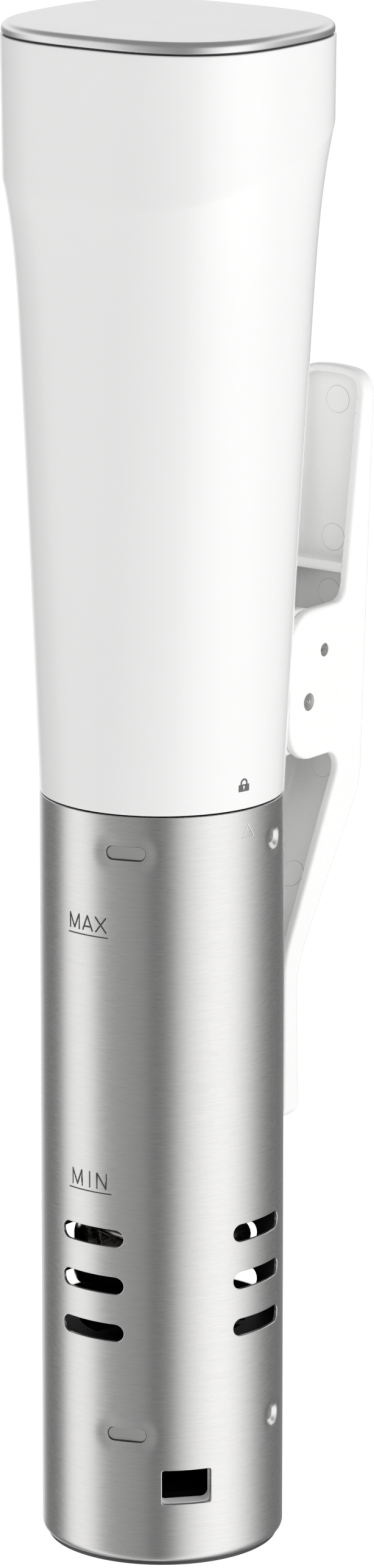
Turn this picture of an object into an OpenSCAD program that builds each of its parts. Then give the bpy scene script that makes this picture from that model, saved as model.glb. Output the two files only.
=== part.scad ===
// Immersion circulator for sous vide cooking: white head with an aluminium lid,
// removable stainless sleeve on a bayonet collar, sprung pot clip at the back.
// Units are millimetres. +Z is up, the origin is the centre of the base.
// The front faces -Y and the pot clip is on the +Y side.

/* [Sleeve] */
// Outer diameter of the stainless sleeve
tube_d = 55; // [54.6:0.1:55.4]
// Height of the sleeve's upper edge above the base
sleeve_top = 175; // [174.6:0.1:175.2]
// Wall thickness of the sleeve
sleeve_wall = 0.8; // [0.6:0.1:0.9]
// Height of each water intake slot
slot_h = 4; // [3:0.1:4]
// Half of the angle that an intake slot covers
slot_half_deg = 17.8; // [14:0.1:19]
// Height of the lowest row of slots above the base
slot_z0 = 54.9; // [54:0.1:56]
// Distance between rows of slots
slot_pitch = 11.1; // [10:0.1:12]
// Width of the outlet window
window_w = 11.3; // [9:0.1:12]
// Height of the outlet window
window_h = 8; // [6:0.1:9]
// Angle of the outlet window round the axis, from the front towards +X
window_deg = 48; // [46:0.5:50]
// Length of a pressed dimple
dimple_l = 9.4; // [8:0.1:10]
// Height of a pressed dimple
dimple_h = 3.2; // [2.6:0.1:3.4]

/* [Housing] */
// Height of the housing's lower edge above the base
housing_z0 = 175.3; // [175.3:0.1:175.6]
// Height of the housing's upper edge above the base
housing_z1 = 345.4; // [345:0.1:345.6]
// Half width of the head, left to right
head_a = 34.6; // [34.4:0.1:35]
// Half depth of the head, front to back
head_b = 31.8; // [31.6:0.1:32.2]
// Squareness of the head's outline: 2 is an ellipse, larger is squarer
head_n = 2.85; // [2.7:0.05:2.95]
// How far the head's centre lies behind the sleeve's axis
head_off = 2.5; // [2.4:0.1:2.8]
// Wall thickness of the housing
housing_wall = 2.3; // [2:0.1:2.5]

/* [Lid] */
// Thickness of the aluminium lid above its gasket
lid_t = 2.6; // [2.2:0.1:3]

/* [Pot clip] */
// Half width of the clip lever
lever_hw = 9.9; // [9.7:0.1:10.2]
// Wall thickness of the clip lever
lever_wall = 1.8; // [1.6:0.1:1.9]
// Distance of the lever's pivot behind the sleeve's axis
pivot_y = 43; // [42.8:0.1:43.2]
// Height of the lever's pivot above the base
pivot_z = 188.2; // [188:0.1:188.4]
// Diameter of the pivot pin
pivot_d = 4; // [3.8:0.1:4.2]
// Diameter of the spring pin
spring_pin_d = 3; // [2.8:0.1:3.2]
// Radial running clearance of pins and shafts in their bores
run_clear = 0.05; // [0.02:0.01:0.08]
// Opening angle of the lever that the bracket's slots allow
lever_swing = 18; // [16:1:18]

/* [Inside] */
// Diameter of the pump shaft
shaft_d = 5; // [4.8:0.1:5.2]
// Diameter of the motor
motor_d = 38; // [36:0.5:39]
// Diameter of the heater tube
heater_d = 6.4; // [6:0.1:6.6]
// Radius of the heater coil
coil_r = 17; // [16.6:0.1:17.4]
// Radius of the cord gland's bore
gland_r = 3.2; // [3:0.1:3.6]

/* [Hidden] */
joint_z = 175.3;
R = tube_d / 2;
Ri = R - sleeve_wall;
sr = shaft_d / 2;
low_r = R;
bracket_screw_z = [190, 206];
white = [0.93, 0.93, 0.93];
black = [0.06, 0.06, 0.065];
steel = [0.68, 0.68, 0.69];
$fn = 64;

// ---------- plane helpers ----------
function unit(v) = v / norm(v);
// Points of a closed outline whose corners [x, y, r] are rounded with radius r
function corner(p0, p1, p2, r, n) =
  let (a = unit(p0 - p1), b = unit(p2 - p1), half = acos(a * b) / 2)
  r <= 0 ? [p1] :
  let (d = r / tan(half), c = p1 + unit(a + b) * (r / sin(half)),
       t1 = p1 + a * d - c, t2 = p1 + b * d - c,
       g1 = atan2(t1.y, t1.x), g2 = atan2(t2.y, t2.x),
       dg = g2 - g1 > 180 ? g2 - g1 - 360 : g2 - g1 < -180 ? g2 - g1 + 360 : g2 - g1)
  [for (i = [0:n]) c + r * [cos(g1 + dg * i / n), sin(g1 + dg * i / n)]];
function rounded(q, n = 5) = [for (i = [0:len(q) - 1])
  let (m = len(q), p0 = q[(i + m - 1) % m], p1 = q[i], p2 = q[(i + 1) % m])
  each corner([p0.x, p0.y], [p1.x, p1.y], [p2.x, p2.y], p1.z, n)];
// A solid whose outline is given in the Y-Z plane, from x0 to x1
module side_plate(pts, x0, x1)
  translate([x0, 0, 0]) rotate([90, 0, 90]) linear_extrude(x1 - x0) polygon(pts);
// A solid whose outline is given in the X-Z plane, from y0 to y1
module front_plate(pts, y0, y1)
  translate([0, y1, 0]) rotate([90, 0, 0]) linear_extrude(y1 - y0) polygon(pts);
// Turns its children from the front to the angle a, measured towards +X
module at(a) rotate([0, 0, a]) children();

// ---------- head outline ----------
function sgn_pow(v, e) = sign(v) * pow(abs(v), e);
// Height of the crease where the flared neck meets the upright head
function crease(t) = 136.2 + 20.5 * pow((1 - cos(t)) / 2, 1.3);
// How far the section has changed from the sleeve's circle to the head's outline
function morph(h, t) = let (zc = crease(t), z0 = 0.72 * zc)
  h >= zc ? 1 : 0.0053 * h + (1 - 0.0053 * zc) * pow(max(0, (h - z0) / (zc - z0)), 3);
// A point of the outer surface, inset by d, at h above the joint and angle t from the front
function skin(h, t, d = 0) =
  let (w = morph(h, t), taper = 0.0095 * (170.1 - h),
       a = low_r + (head_a - taper - low_r) * w - d,
       b = low_r + (head_b - taper - low_r) * w - d,
       e = 2 / (2 + (head_n - 2) * w))
  [a * sgn_pow(sin(t), e), head_off * w - b * sgn_pow(cos(t), e)];
function head_outline(d, n = 72) = [for (i = [0:n - 1]) skin(170.1, 360 * i / n, d)];

// Closed surface through rings of equal length, given as a list of point lists
function ring_faces(m, n, loop = false) = [for (j = [0:m - (loop ? 1 : 2)], i = [0:n - 1])
  let (a = j * n + i, b = j * n + (i + 1) % n, k = (j + 1) % m, c = k * n + i, d = k * n + (i + 1) % n)
  each [[a, c, b], [b, c, d]]];
module loft(rings, ends = true) {
  n = len(rings[0]); m = len(rings);
  polyhedron([for (r = rings) each r],
    concat(ring_faces(m, n, !ends),
      ends ? [[for (i = [0:n - 1]) i], [for (i = [n - 1:-1:0]) (m - 1) * n + i]] : []), convexity = 6);
}
// Round tube of radius r along the points p, whose frame follows the normals q
module sweep(p, q, r, n = 8) {
  m = len(p);
  tan_at = [for (i = [0:m - 1]) unit(p[min(i + 1, m - 1)] - p[max(i - 1, 0)])];
  loft([for (i = [0:m - 1]) let (u = unit(q[i] - tan_at[i] * (q[i] * tan_at[i])), v = cross(tan_at[i], u))
    [for (k = [0:n - 1]) p[i] + r * (cos(360 * k / n) * u + sin(360 * k / n) * v)]]);
}

// ---------- white head ----------
module housing() color(white) {
  n = 60;
  h1 = housing_z1 - joint_z;
  lower = [0.004, 0.14, 0.29, 0.44, 0.58, 0.68, 0.76, 0.83, 0.89, 0.935, 0.97, 1];
  outer = concat(
    [[for (i = [0:n - 1]) concat(skin(0, 360 * i / n, 0.35), [housing_z0])]],
    [for (s = lower) [for (i = [0:n - 1]) let (t = 360 * i / n, h = max(0.4, s * crease(t)))
      concat(skin(h, t), [joint_z + h])]],
    [for (s = [0.35, 0.7, 1]) [for (i = [0:n - 1]) let (t = 360 * i / n, zc = crease(t), h = zc + (h1 - zc) * s)
      concat(skin(h, t), [joint_z + h])]]);
  inner = concat(
    [[for (i = [0:n - 1]) concat(skin(h1, 360 * i / n, housing_wall), [housing_z1])]],
    [for (s = [1, 0.95, 0.88, 0.8, 0.68, 0.4, 0.12]) [for (i = [0:n - 1]) let (t = 360 * i / n, h = s * crease(t))
      concat(skin(h, t, housing_wall), [joint_z + h])]],
    [[for (i = [0:n - 1]) concat(skin(0, 360 * i / n, housing_wall), [housing_z0])]]);
  difference() {
    union() {
      loft(concat(outer, inner), ends = false);
      // flat boss round the cord gland
      translate([0, 32.2, 326]) rotate([-90, 0, 0]) cylinder(h = 2.4, r = gland_r + 4.4);
    }
    // seat of the cord gland
    translate([0, 25, 326]) rotate([-90, 0, 0]) cylinder(h = 15, r = gland_r + 2.3);
    // holes of the bracket's screws
    for (z = bracket_screw_z) translate([0, 22, z]) rotate([-90, 0, 0]) cylinder(h = 10, r = 1.6);
  }
}

function lid_ring(d, h) = [for (p = head_outline(d)) concat(p, [h])];
module top_lid() color([0.72, 0.72, 0.73]) {
  z = housing_z1 + 0.4;
  loft([for (s = [[0.55, 0], [0.3, 0.2], [0.26, 0.5], [0.26, lid_t - 1.5], [0.42, lid_t - 1],
                  [0.78, lid_t - 0.45], [1.35, lid_t - 0.12], [2.1, lid_t]]) lid_ring(s[0], z + s[1])]);
  // spigot that snaps into the housing
  translate([0, 0, z - 5]) linear_extrude(5) difference() {
    polygon(head_outline(housing_wall + 0.15, 48));
    polygon(head_outline(housing_wall + 2.2, 48));
  }
}

module lid_gasket() color(black)
  translate([0, 0, housing_z1]) linear_extrude(0.4) difference() {
    polygon(head_outline(0.6, 72));
    polygon(head_outline(housing_wall + 0.15, 48));
  }

module cord_gland() color(black)
  translate([0, 0, 326]) rotate([-90, 0, 0]) difference() {
    union() {
      translate([0, 0, 30.3]) cylinder(h = 4.3, r = gland_r + 2.3);
      translate([0, 0, 34.6]) cylinder(h = 2.2, r = gland_r + 3.4);
      translate([0, 0, 28.2]) cylinder(h = 2.1, r = gland_r + 3.4);
    }
    translate([0, 0, 27]) cylinder(h = 13, r = gland_r);
  }

module display_window() color([0.85, 0.85, 0.83])
  translate([0, -22, 318]) rotate([90, 0, 0]) difference() {
    translate([-15, -17, 0]) cube([30, 34, 1.4]);
    for (y = [-10, 10]) translate([0, y, -1]) cylinder(h = 3, r = 1.2);
  }

module display_board() color([0.05, 0.25, 0.12]) difference() {
  translate([-19, -19.4, 294]) cube([38, 1.6, 44]);
  for (x = [-17, 17], z = [298, 334]) translate([x, -20, z]) rotate([-90, 0, 0]) cylinder(h = 3, r = 1);
}

module display_module() color([0.1, 0.1, 0.1]) {
  translate([-14, -22, 303]) cube([28, 2.6, 30]);
  for (x = [-6, 6]) translate([x, -19.4, 298]) rotate([90, 0, 0]) cylinder(h = 1.4, r = 1.6);
}

module power_board() color([0.05, 0.25, 0.12])
  translate([-20.9, 6, 262]) cube([41.8, 1.6, 70]);

module power_components() color([0.15, 0.2, 0.45]) {
  for (p = [[-14, 280, 6], [2, 276, 5], [15, 300, 5]])
    translate([p[0], 6, p[1]]) rotate([90, 0, 0]) cylinder(h = 14, r = p[2]);
  translate([-20, -8, 300]) cube([18, 14, 16]);
  translate([-6, 7.6, 318]) cube([14, 9, 10]);
  translate([2, 7.6, 270]) cube([12, 6, 16]);
}

// ---------- inner frame and drive ----------
module chassis() color([0.2, 0.2, 0.21]) difference() {
  union() {
    translate([0, 0, 199.4]) cylinder(h = 3.6, r = 24.6);
    for (s = [-1, 1]) translate([s * 22.6 - 1.6, -6.5, 202]) cube([3.2, 15, 131]);
    for (s = [-1, 1]) translate([s * 20.2 - 4.2, 7.6, 262]) cube([8.4, 2.2, 70]);
    for (s = [-1, 1]) translate([s * 15.7 - 3.7, -17.8, 294]) cube([7.4, 2.4, 44]);
    for (s = [-1, 1]) translate([s * 21 - 2.2, -17, 326]) cube([4.4, 12, 6]);
    for (a = [30, 150, 270]) at(a) translate([20, 0, 174.5]) cylinder(h = 26, r = 2.5);
  }
  translate([0, 0, 199]) cylinder(h = 5, r = 9);
  for (a = [0, 180]) at(a) translate([13, 0, 199]) cylinder(h = 5, r = 1.6);
  for (a = [30, 150, 270]) at(a) {
    translate([20, 0, 174]) cylinder(h = 30, r = 1.35);
    translate([20, 0, 201.4]) cylinder(h = 3, r = 2.4);
  }
  for (x = [-17, 17], z = [298, 334]) translate([x, -18, z]) rotate([-90, 0, 0]) cylinder(h = 4, r = 1);
}
module screw(l, r, head_r, head_h) {
  cylinder(h = l, r = r);
  difference() {
    translate([0, 0, -head_h]) cylinder(h = head_h, r = head_r);
    translate([0, 0, -head_h - 1]) for (a = [0, 90]) rotate([0, 0, a]) translate([-0.35, -head_r * 0.6, 0]) cube([0.7, head_r * 1.2, 1 + head_h * 0.5]);
  }
}
module chassis_screws() color(steel)
  for (x = [-17, 17], z = [298, 334]) translate([x, -19.4, z]) rotate([-90, 0, 0]) screw(3.8, 1, 1.8, 1.2);

module motor() color([0.55, 0.55, 0.56]) difference() {
  union() {
    translate([0, 0, 203]) cylinder(h = 40, r = motor_d / 2);
    translate([0, 0, 243]) cylinder(h = 3, r = 8);
    translate([0, 0, 200]) cylinder(h = 3, r = 8.6);
  }
  translate([0, 0, 199]) cylinder(h = 50, r = sr + run_clear);
  for (a = [0, 180]) at(a) translate([13, 0, 202]) cylinder(h = 7, r = 1.25);
}
module motor_screws() color(steel)
  for (a = [0, 180]) at(a) translate([13, 0, 199.4]) screw(8, 1.25, 2.6, 1.6);

module motor_shaft() color(steel) translate([0, 0, 189]) cylinder(h = 71, r = sr);

module cooling_fan() color([0.1, 0.1, 0.1]) difference() {
  union() {
    translate([0, 0, 248]) cylinder(h = 9, r = 7);
    for (i = [0:6]) rotate([0, 0, i * 360 / 7]) translate([6, 0, 252.5]) rotate([35, 0, 0]) translate([0, -0.6, -4]) cube([13.5, 1.2, 8]);
  }
  translate([0, 0, 247]) cylinder(h = 11, r = sr);
}
module shaft_coupling() color([0.6, 0.6, 0.62]) difference() {
  translate([0, 0, 182.5]) cylinder(h = 13, r = 6);
  translate([0, 0, 182]) cylinder(h = 14, r = sr);
  translate([-0.4, 0, 184]) cube([0.8, 7, 10]);
}
module drive_shaft() color(steel) translate([0, 0, 12]) cylinder(h = 176.6, r = sr);

module impeller() color([0.85, 0.85, 0.82]) difference() {
  union() {
    translate([0, 0, 13]) cylinder(h = 1.6, r = 18);
    translate([0, 0, 13]) cylinder(h = 14, r = 5);
    for (i = [0:5]) rotate([0, 0, i * 60]) translate([4, 2, 14]) rotate([0, 0, -22]) translate([0, -0.7, 0]) cube([14, 1.4, 9]);
  }
  translate([0, 0, 12]) cylinder(h = 16, r = sr);
}

module shaft_seal() color([0.5, 0.2, 0.12]) difference() {
  translate([0, 0, 170.5]) cylinder(h = 4, r = 7);
  translate([0, 0, 170]) cylinder(h = 5, r = sr + run_clear);
}
module shaft_tube() color(steel) difference() {
  translate([0, 0, 51]) cylinder(h = 117.5, r = 4.8);
  translate([0, 0, 50]) cylinder(h = 120, r = 3.9);
}
module shaft_bush() color([0.75, 0.6, 0.3]) difference() {
  union() {
    translate([0, 0, 45]) cylinder(h = 6, r = 4.2);
    translate([0, 0, 43.4]) cylinder(h = 1.6, r = 5.6);
  }
  translate([0, 0, 43]) cylinder(h = 9, r = sr + run_clear);
}

// ---------- collar and wetted parts ----------
dimple_in = 1.2;
dimple_z = [31, 166.5];
dimples = [[19, dimple_l, dimple_h], [103, 4.6, 3.8], [199, dimple_l, dimple_h], [283, 4.6, 3.8]];
twist_deg = 22;
heater_deg = [0, 109.3026];
module bayonet_collar() color(black) difference() {
  union() {
    translate([0, 0, 152]) cylinder(h = 23.3, r = Ri - 0.3, $fn = 96);
    translate([0, 0, 175.3]) cylinder(h = 10.7, r = low_r - housing_wall - 0.2, $fn = 96);
  }
  // space below and above the bulkhead
  translate([0, 0, 151]) cylinder(h = 17.5, r = 22.6);
  translate([0, 0, 174.5]) cylinder(h = 12, r = 22.6);
  // seats of the shaft seal and the shaft tube
  translate([0, 0, 170.5]) cylinder(h = 5, r = 7);
  translate([0, 0, 168]) cylinder(h = 3, r = 3.9);
  // passages of the heater, the probe and the electrodes
  for (a = heater_deg) at(a) translate([coil_r, 0, 165]) cylinder(h = 12, r = heater_d / 2 + 0.1);
  at(150) translate([10.2, 0, 165]) cylinder(h = 12, r = 2.6);
  for (a = [200, 320]) at(a) translate([10.2, 0, 165]) cylinder(h = 12, r = 1.6);
  // bayonet grooves that the sleeve's upper dimples run in
  for (d = dimples) at(d[0] - 90) {
    rotate([0, 0, -12.5]) rotate_extrude(angle = twist_deg + 25) translate([Ri - dimple_in - 0.7, dimple_z[1] - d[2] / 2 - 0.5]) square([4, d[2] + 1]);
    rotate([0, 0, twist_deg - 11.3]) rotate_extrude(angle = 22.8) translate([Ri - dimple_in - 0.5, 150]) square([4, dimple_z[1] - 150.6]);
  }
  // blind holes of the collar screws
  for (a = [30, 150, 270]) at(a) translate([20, 0, 170.5]) cylinder(h = 5, r = 1.25);
  // groove of the housing seal
  translate([0, 0, 180.2]) difference() {
    cylinder(h = 1.6, r = 26, $fn = 96);
    translate([0, 0, -1]) cylinder(h = 4, r = low_r - housing_wall - 1.6, $fn = 96);
  }
}
module collar_screws() color(steel)
  for (a = [30, 150, 270]) at(a) translate([20, 0, 201.4]) rotate([180, 0, 0]) screw(30.9, 1.25, 2.3, 1.6);

module housing_seal() color([0.3, 0.3, 0.3])
  translate([0, 0, 181]) rotate_extrude($fn = 96) translate([low_r - housing_wall - 0.8, 0]) circle(r = 0.75, $fn = 24);

// The heater tube lies on a cylinder; moves are [step, turn] in its unrolled plane
slope = 9.6;
heater_moves = concat(
  [for (i = [1:6]) [7.97, i == 6 ? (90 - slope) / 12 : 0]],
  [for (i = [1:6]) [2.1, i == 6 ? (90 - slope) / 12 : (90 - slope) / 6]],
  [for (i = [1:54]) [7.037, 0]],
  [for (i = [1:9]) [1.56, 20]],
  [for (i = [1:50]) [6.9833, 0]],
  [for (i = [1:6]) [2.1, -(90 - slope) / 6]],
  [for (i = [1:6]) [7.5724, 0]]);
function walk(i, p, g) = i >= len(heater_moves) ? [p] :
  let (s = heater_moves[i]) concat([p], walk(i + 1, p + s[0] * [cos(g), sin(g)], g + s[1]));
module heater_coil() color([0.62, 0.6, 0.58]) {
  w = walk(0, [0, 182], -90);
  deg = 180 / (PI * coil_r);
  last = w[len(w) - 1];
  pts = [for (i = [0:len(w) - 1]) let (q = w[i], a = q.x * deg) [coil_r * cos(a), coil_r * sin(a), q.y]];
  nrm = [for (i = [0:len(w) - 1]) let (a = w[i].x * deg) [cos(a), sin(a), 0]];
  sweep(pts, nrm, heater_d / 2, 8);
}
module heater_terminals() color([0.75, 0.6, 0.3])
  for (a = heater_deg) at(a) translate([coil_r, 0, 182]) { cylinder(h = 3, r = 1.6); translate([-0.4, -2, 3]) cube([0.8, 4, 7]); }

module temperature_probe() color(steel) at(150) translate([10.2, 0, 0]) {
  translate([0, 0, 92]) cylinder(h = 86, r = 2.6);
  translate([0, 0, 92]) sphere(r = 2.6, $fn = 32);
}
module level_electrodes() color(steel) {
  at(200) translate([10.2, 0, 146]) cylinder(h = 34, r = 1.6);
  at(320) translate([10.2, 0, 86]) cylinder(h = 94, r = 1.6);
}

module pump_housing() color(black) difference() {
  union() {
    difference() {
      translate([0, 0, 4.2]) cylinder(h = 46.8, r = 25.1, $fn = 96);
      translate([0, 0, 3]) cylinder(h = 42, r = 22.7);
      difference() {
        translate([0, 0, 44]) cylinder(h = 8, r = 19);
        cylinder(h = 60, r = 8);
        for (a = [0:60:300]) rotate([0, 0, a + 20]) translate([0, -1.5, 43]) cube([22, 3, 9]);
      }
    }
    // volute floor plate above the impeller with its eye
    difference() {
      translate([0, 0, 30]) cylinder(h = 2, r = 23);
      translate([0, 0, 29]) cylinder(h = 4, r = 10);
    }
  }
  // outlet
  at(window_deg - 90) translate([18, -6.5, 13]) cube([10, 13, 12]);
  // bore of the bush
  translate([0, 0, 43]) cylinder(h = 9, r = 4.2);
}

// frame with rounded inner corners that leads the water from the outlet to the window
module outlet_nozzle() color(white) at(window_deg - 90) difference() {
  intersection() {
    translate([22.8, -6.4, 13]) cube([5, 12.8, 11.9]);
    cylinder(h = 30, r = 26.3, $fn = 96);
  }
  translate([20, -5.7, 16.7]) cube([8, 11.4, 4.8]);
  translate([20, -4, 15]) cube([8, 8, 8.2]);
  for (y = [-4, 4], z = [16.7, 21.5]) translate([20, y, z]) rotate([0, 90, 0]) cylinder(h = 8, r = 1.7);
}

module obround(l, h, d) { // along the radial direction +X, length along Y
  translate([0, -(l - h) / 2, -h / 2]) cube([d, l - h, h]);
  for (s = [-1, 1]) translate([0, s * (l - h) / 2, 0]) rotate([0, 90, 0]) cylinder(h = d, r = h / 2, $fn = 40);
}
module sleeve() color(steel) difference() {
  union() {
    rotate_extrude($fn = 128) polygon(concat(
      [[Ri, sleeve_top], [R, sleeve_top]],
      [for (i = [0:7]) let (a = -i * 60 / 7) [R - 2.2 + 2.2 * cos(a), 2.9 + 2.2 * sin(a)]],
      [for (i = [7:-1:0]) let (a = -i * 60 / 7) [R - 2.2 + (2.2 - sleeve_wall) * cos(a), 2.9 + (2.2 - sleeve_wall) * sin(a)]]));
    // inner face of each pressed dimple
    for (d = dimples, z = dimple_z) intersection() {
      translate([0, 0, z - 4]) difference() { cylinder(h = 8, r = R - 0.2, $fn = 128); translate([0, 0, -1]) cylinder(h = 10, r = Ri - dimple_in, $fn = 128); }
      at(d[0] - 90) translate([15, 0, z]) obround(d[1], d[2], 20);
    }
  }
  // outer recess of each pressed dimple
  for (d = dimples, z = dimple_z) intersection() {
    translate([0, 0, z - 4]) difference() { cylinder(h = 8, r = R + 2, $fn = 128); translate([0, 0, -1]) cylinder(h = 10, r = R - dimple_in, $fn = 128); }
    at(d[0] - 90) translate([15, 0, z]) obround(d[1] - 1, d[2] - 1, 20);
  }
  // water intake slots
  for (a = [0, 90, 180, 270], k = [0:2]) at(a - 90)
    translate([20, 0, slot_z0 + k * slot_pitch]) obround(2 * R * sin(slot_half_deg), slot_h, 12);
  // outlet window
  at(window_deg - 90) translate([20, -window_w / 2, 18.9 - window_h / 2]) cube([12, window_w, window_h]);
}

module base_cap() color(black) {
  cylinder(h = 1, r = R - 1.3, $fn = 96);
  translate([0, 0, 1]) cylinder(h = 2.4, r = R - 1.75, $fn = 96);
  translate([0, 0, 3.1]) cylinder(h = 0.5, r = Ri, $fn = 128);
}

// ---------- pot clip ----------
by = pivot_y; bz = pivot_z;
lever_side = rounded([
  [69.1, joint_z + 86.9, 2], [64.1, joint_z - 10, 14], [39.2, joint_z - 49, 20], [39.9, joint_z - 84.3, 2.6],
  [33.9, joint_z - 84.3, 1.6], [34.2, joint_z - 46.5, 20], [56.9, joint_z - 0.7, 3.6], [35.7, joint_z - 0.7, 8.4],
  [35.7, joint_z + 34.2, 9], [57.4, joint_z + 34.2, 3.8], [65, joint_z + 86.9, 0.8]], 6);
lever_cavity = rounded([
  [69.1 - lever_wall, joint_z + 85.1, 1.5], [64.1 - lever_wall, joint_z - 9.4, 12.5], [39.2 - lever_wall, joint_z - 48.4, 20],
  [39.9 - lever_wall, joint_z - 82.7, 1.5], [30, joint_z - 82.7, 0], [30, joint_z + 85.1, 0]], 6);
function lever_front(d) = rounded([
  [-lever_hw + d, joint_z - 84.4 + d, 3 - d], [lever_hw - d, joint_z - 84.4 + d, 3 - d],
  [lever_hw - d, joint_z + 85.6 - d, 6 - d], [0, joint_z + 87.2 - d, 16], [-lever_hw + d, joint_z + 85.6 - d, 6 - d]], 6);
module clip_lever() color(white) difference() {
  union() {
    difference() {
      intersection() {
        side_plate(lever_side, -lever_hw, lever_hw);
        front_plate(lever_front(0), 20, 80);
      }
      intersection() {
        side_plate(lever_cavity, -lever_hw + lever_wall, lever_hw - lever_wall);
        front_plate(lever_front(lever_wall - 0.2), 20, 80);
      }
    }
    // stiffening rib across the channel
    translate([-lever_hw + 1, 58.7, joint_z + 39.9]) cube([2 * lever_hw - 2, 7.2, 2.4]);
    // seat of the jaw pad
    translate([-5, 34, joint_z - 80]) cube([10, 4.6, 22]);
  }
  translate([-12, by, bz]) rotate([0, 90, 0]) cylinder(h = 24, r = pivot_d / 2);
  translate([-12, by + 6.1, bz + 11.1]) rotate([0, 90, 0]) cylinder(h = 24, r = spring_pin_d / 2);
}
module jaw_pad() color([0.35, 0.35, 0.36]) difference() {
  side_plate(rounded([[29.6, joint_z - 79.6, 1.6], [34, joint_z - 81.5, 0.5], [34, joint_z - 56.5, 0.5], [29.6, joint_z - 58.4, 1.6]]), -6.2, 6.2);
  for (i = [0:4]) translate([-7, 29, joint_z - 77.2 + i * 4]) cube([14, 1.2, 0.8]);
}
module pivot_pin() color(steel) difference() {
  translate([-lever_hw + 0.15, by, bz]) rotate([0, 90, 0]) cylinder(h = 2 * lever_hw - 0.3, r = pivot_d / 2);
  for (s = [-1, 1]) translate([s * lever_hw, by, bz]) rotate([0, 90, 0]) cylinder(h = 1, r = 0.5, center = true);
}
module spring_pin() color(steel)
  translate([-lever_hw + 0.15, by + 6.1, bz + 11.1]) rotate([0, 90, 0]) cylinder(h = 2 * lever_hw - 0.3, r = spring_pin_d / 2);

module clip_bracket() color(white) {
  pin_r = norm([6.1, 11.1]);
  pin_a = atan2(11.1, 6.1);
  hw = lever_hw - lever_wall - 0.4;
  difference() {
    side_plate(rounded([[24, joint_z + 0.9, 0], [54, joint_z + 0.9, 13], [54, joint_z + 34.3, 11], [24, joint_z + 34.3, 0]], 7), -hw, hw);
    // face that fits the housing
    translate([0, 0.15, joint_z]) cylinder(h = 40, r1 = low_r - 0.04, r2 = low_r + 1.36, $fn = 128);
    // room for the spring, with a lug left below its fixed leg
    difference() {
      side_plate([[34, joint_z - 3], [60, joint_z - 3], [60, joint_z + 40], [34, joint_z + 40]], -hw + 2.6, hw - 2.6);
      translate([-hw, 33, bz + 1.2]) cube([hw - 2.2, 3, 2.15]);
    }
    // bores of the pivot pin
    translate([-12, by, bz]) rotate([0, 90, 0]) cylinder(h = 24, r = pivot_d / 2 + run_clear);
    // curved slots that the spring pin runs in
    translate([-12, by, bz]) rotate([90, 0, 90]) {
      rotate([0, 0, pin_a - 1.2]) rotate_extrude(angle = lever_swing + 2.4) translate([pin_r - spring_pin_d / 2 - 0.35, 0]) square([spring_pin_d + 0.7, 24]);
      for (g = [pin_a - 1.2, pin_a + lever_swing + 1.2]) rotate([0, 0, g]) translate([pin_r, 0, 0]) cylinder(h = 24, r = spring_pin_d / 2 + 0.35);
    }
    // holes of the fixing screws
    for (z = bracket_screw_z) translate([0, 22, z]) rotate([-90, 0, 0]) cylinder(h = 11.5, r = 1.25);
  }
}
module bracket_screws() color(steel)
  for (z = bracket_screw_z) translate([0, 25.3 + (z - 190) * 0.025, z]) rotate([-90, 0, 0]) screw(7.3, 1.2, 2.4, 1.5);

// Wound round the pivot pin: one leg against the bracket, the other behind the spring pin
module torsion_spring() color([0.5, 0.5, 0.52]) {
  rm = 4; wr = 0.6; n = 14;
  turn = 1747; k = 68; x0 = -3.6; dx = 7.2;
  coil = [for (i = [0:k]) let (a = 90 - turn * i / k) [x0 + dx * i / k, by + rm * cos(a), bz + rm * sin(a)]];
  coil_n = [for (i = [0:k]) let (a = 90 - turn * i / k) [0, cos(a), sin(a)]];
  leg0 = [for (i = [2:-1:1]) [x0, by - i * 4.3, bz + rm]];
  e = 53; tip = coil[k];
  leg1 = [for (i = [1:3]) tip + i * 4.8 * [0, cos(e), sin(e)]];
  sweep(concat(leg0, coil, leg1), concat([for (i = [1:2]) [0, 0, 1]], coil_n, [for (i = [1:3]) [0, -sin(e), cos(e)]]), wr, 8);
}

housing();
top_lid();
lid_gasket();
cord_gland();
display_window();
display_board();
display_module();
power_board();
power_components();
chassis();
chassis_screws();
motor();
motor_screws();
motor_shaft();
cooling_fan();
shaft_coupling();
drive_shaft();
impeller();
shaft_seal();
shaft_tube();
shaft_bush();
bayonet_collar();
collar_screws();
housing_seal();
heater_coil();
heater_terminals();
temperature_probe();
level_electrodes();
pump_housing();
outlet_nozzle();
sleeve();
base_cap();
clip_bracket();
bracket_screws();
clip_lever();
pivot_pin();
spring_pin();
torsion_spring();
jaw_pad();
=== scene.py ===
import math

import bpy
import numpy as np
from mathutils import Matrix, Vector, geometry


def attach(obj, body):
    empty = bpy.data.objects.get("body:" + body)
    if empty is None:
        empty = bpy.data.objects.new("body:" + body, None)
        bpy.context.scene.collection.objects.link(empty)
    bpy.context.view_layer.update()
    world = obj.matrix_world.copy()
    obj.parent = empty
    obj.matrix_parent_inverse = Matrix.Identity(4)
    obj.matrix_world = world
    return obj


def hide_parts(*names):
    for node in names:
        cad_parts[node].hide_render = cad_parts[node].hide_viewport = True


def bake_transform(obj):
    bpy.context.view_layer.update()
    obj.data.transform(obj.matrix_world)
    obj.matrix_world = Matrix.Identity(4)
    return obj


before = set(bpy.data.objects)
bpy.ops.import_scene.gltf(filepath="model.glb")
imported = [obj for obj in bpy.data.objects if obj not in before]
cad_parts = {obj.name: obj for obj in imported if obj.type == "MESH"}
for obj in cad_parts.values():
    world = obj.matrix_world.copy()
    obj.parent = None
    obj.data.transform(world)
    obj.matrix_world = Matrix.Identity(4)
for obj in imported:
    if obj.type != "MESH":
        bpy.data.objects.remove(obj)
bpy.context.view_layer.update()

MM = 0.001
J = 175.3            # height of the joint between sleeve and head, mm
R, RI = 27.5, 26.7   # sleeve, outer and inner radius, mm
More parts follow.
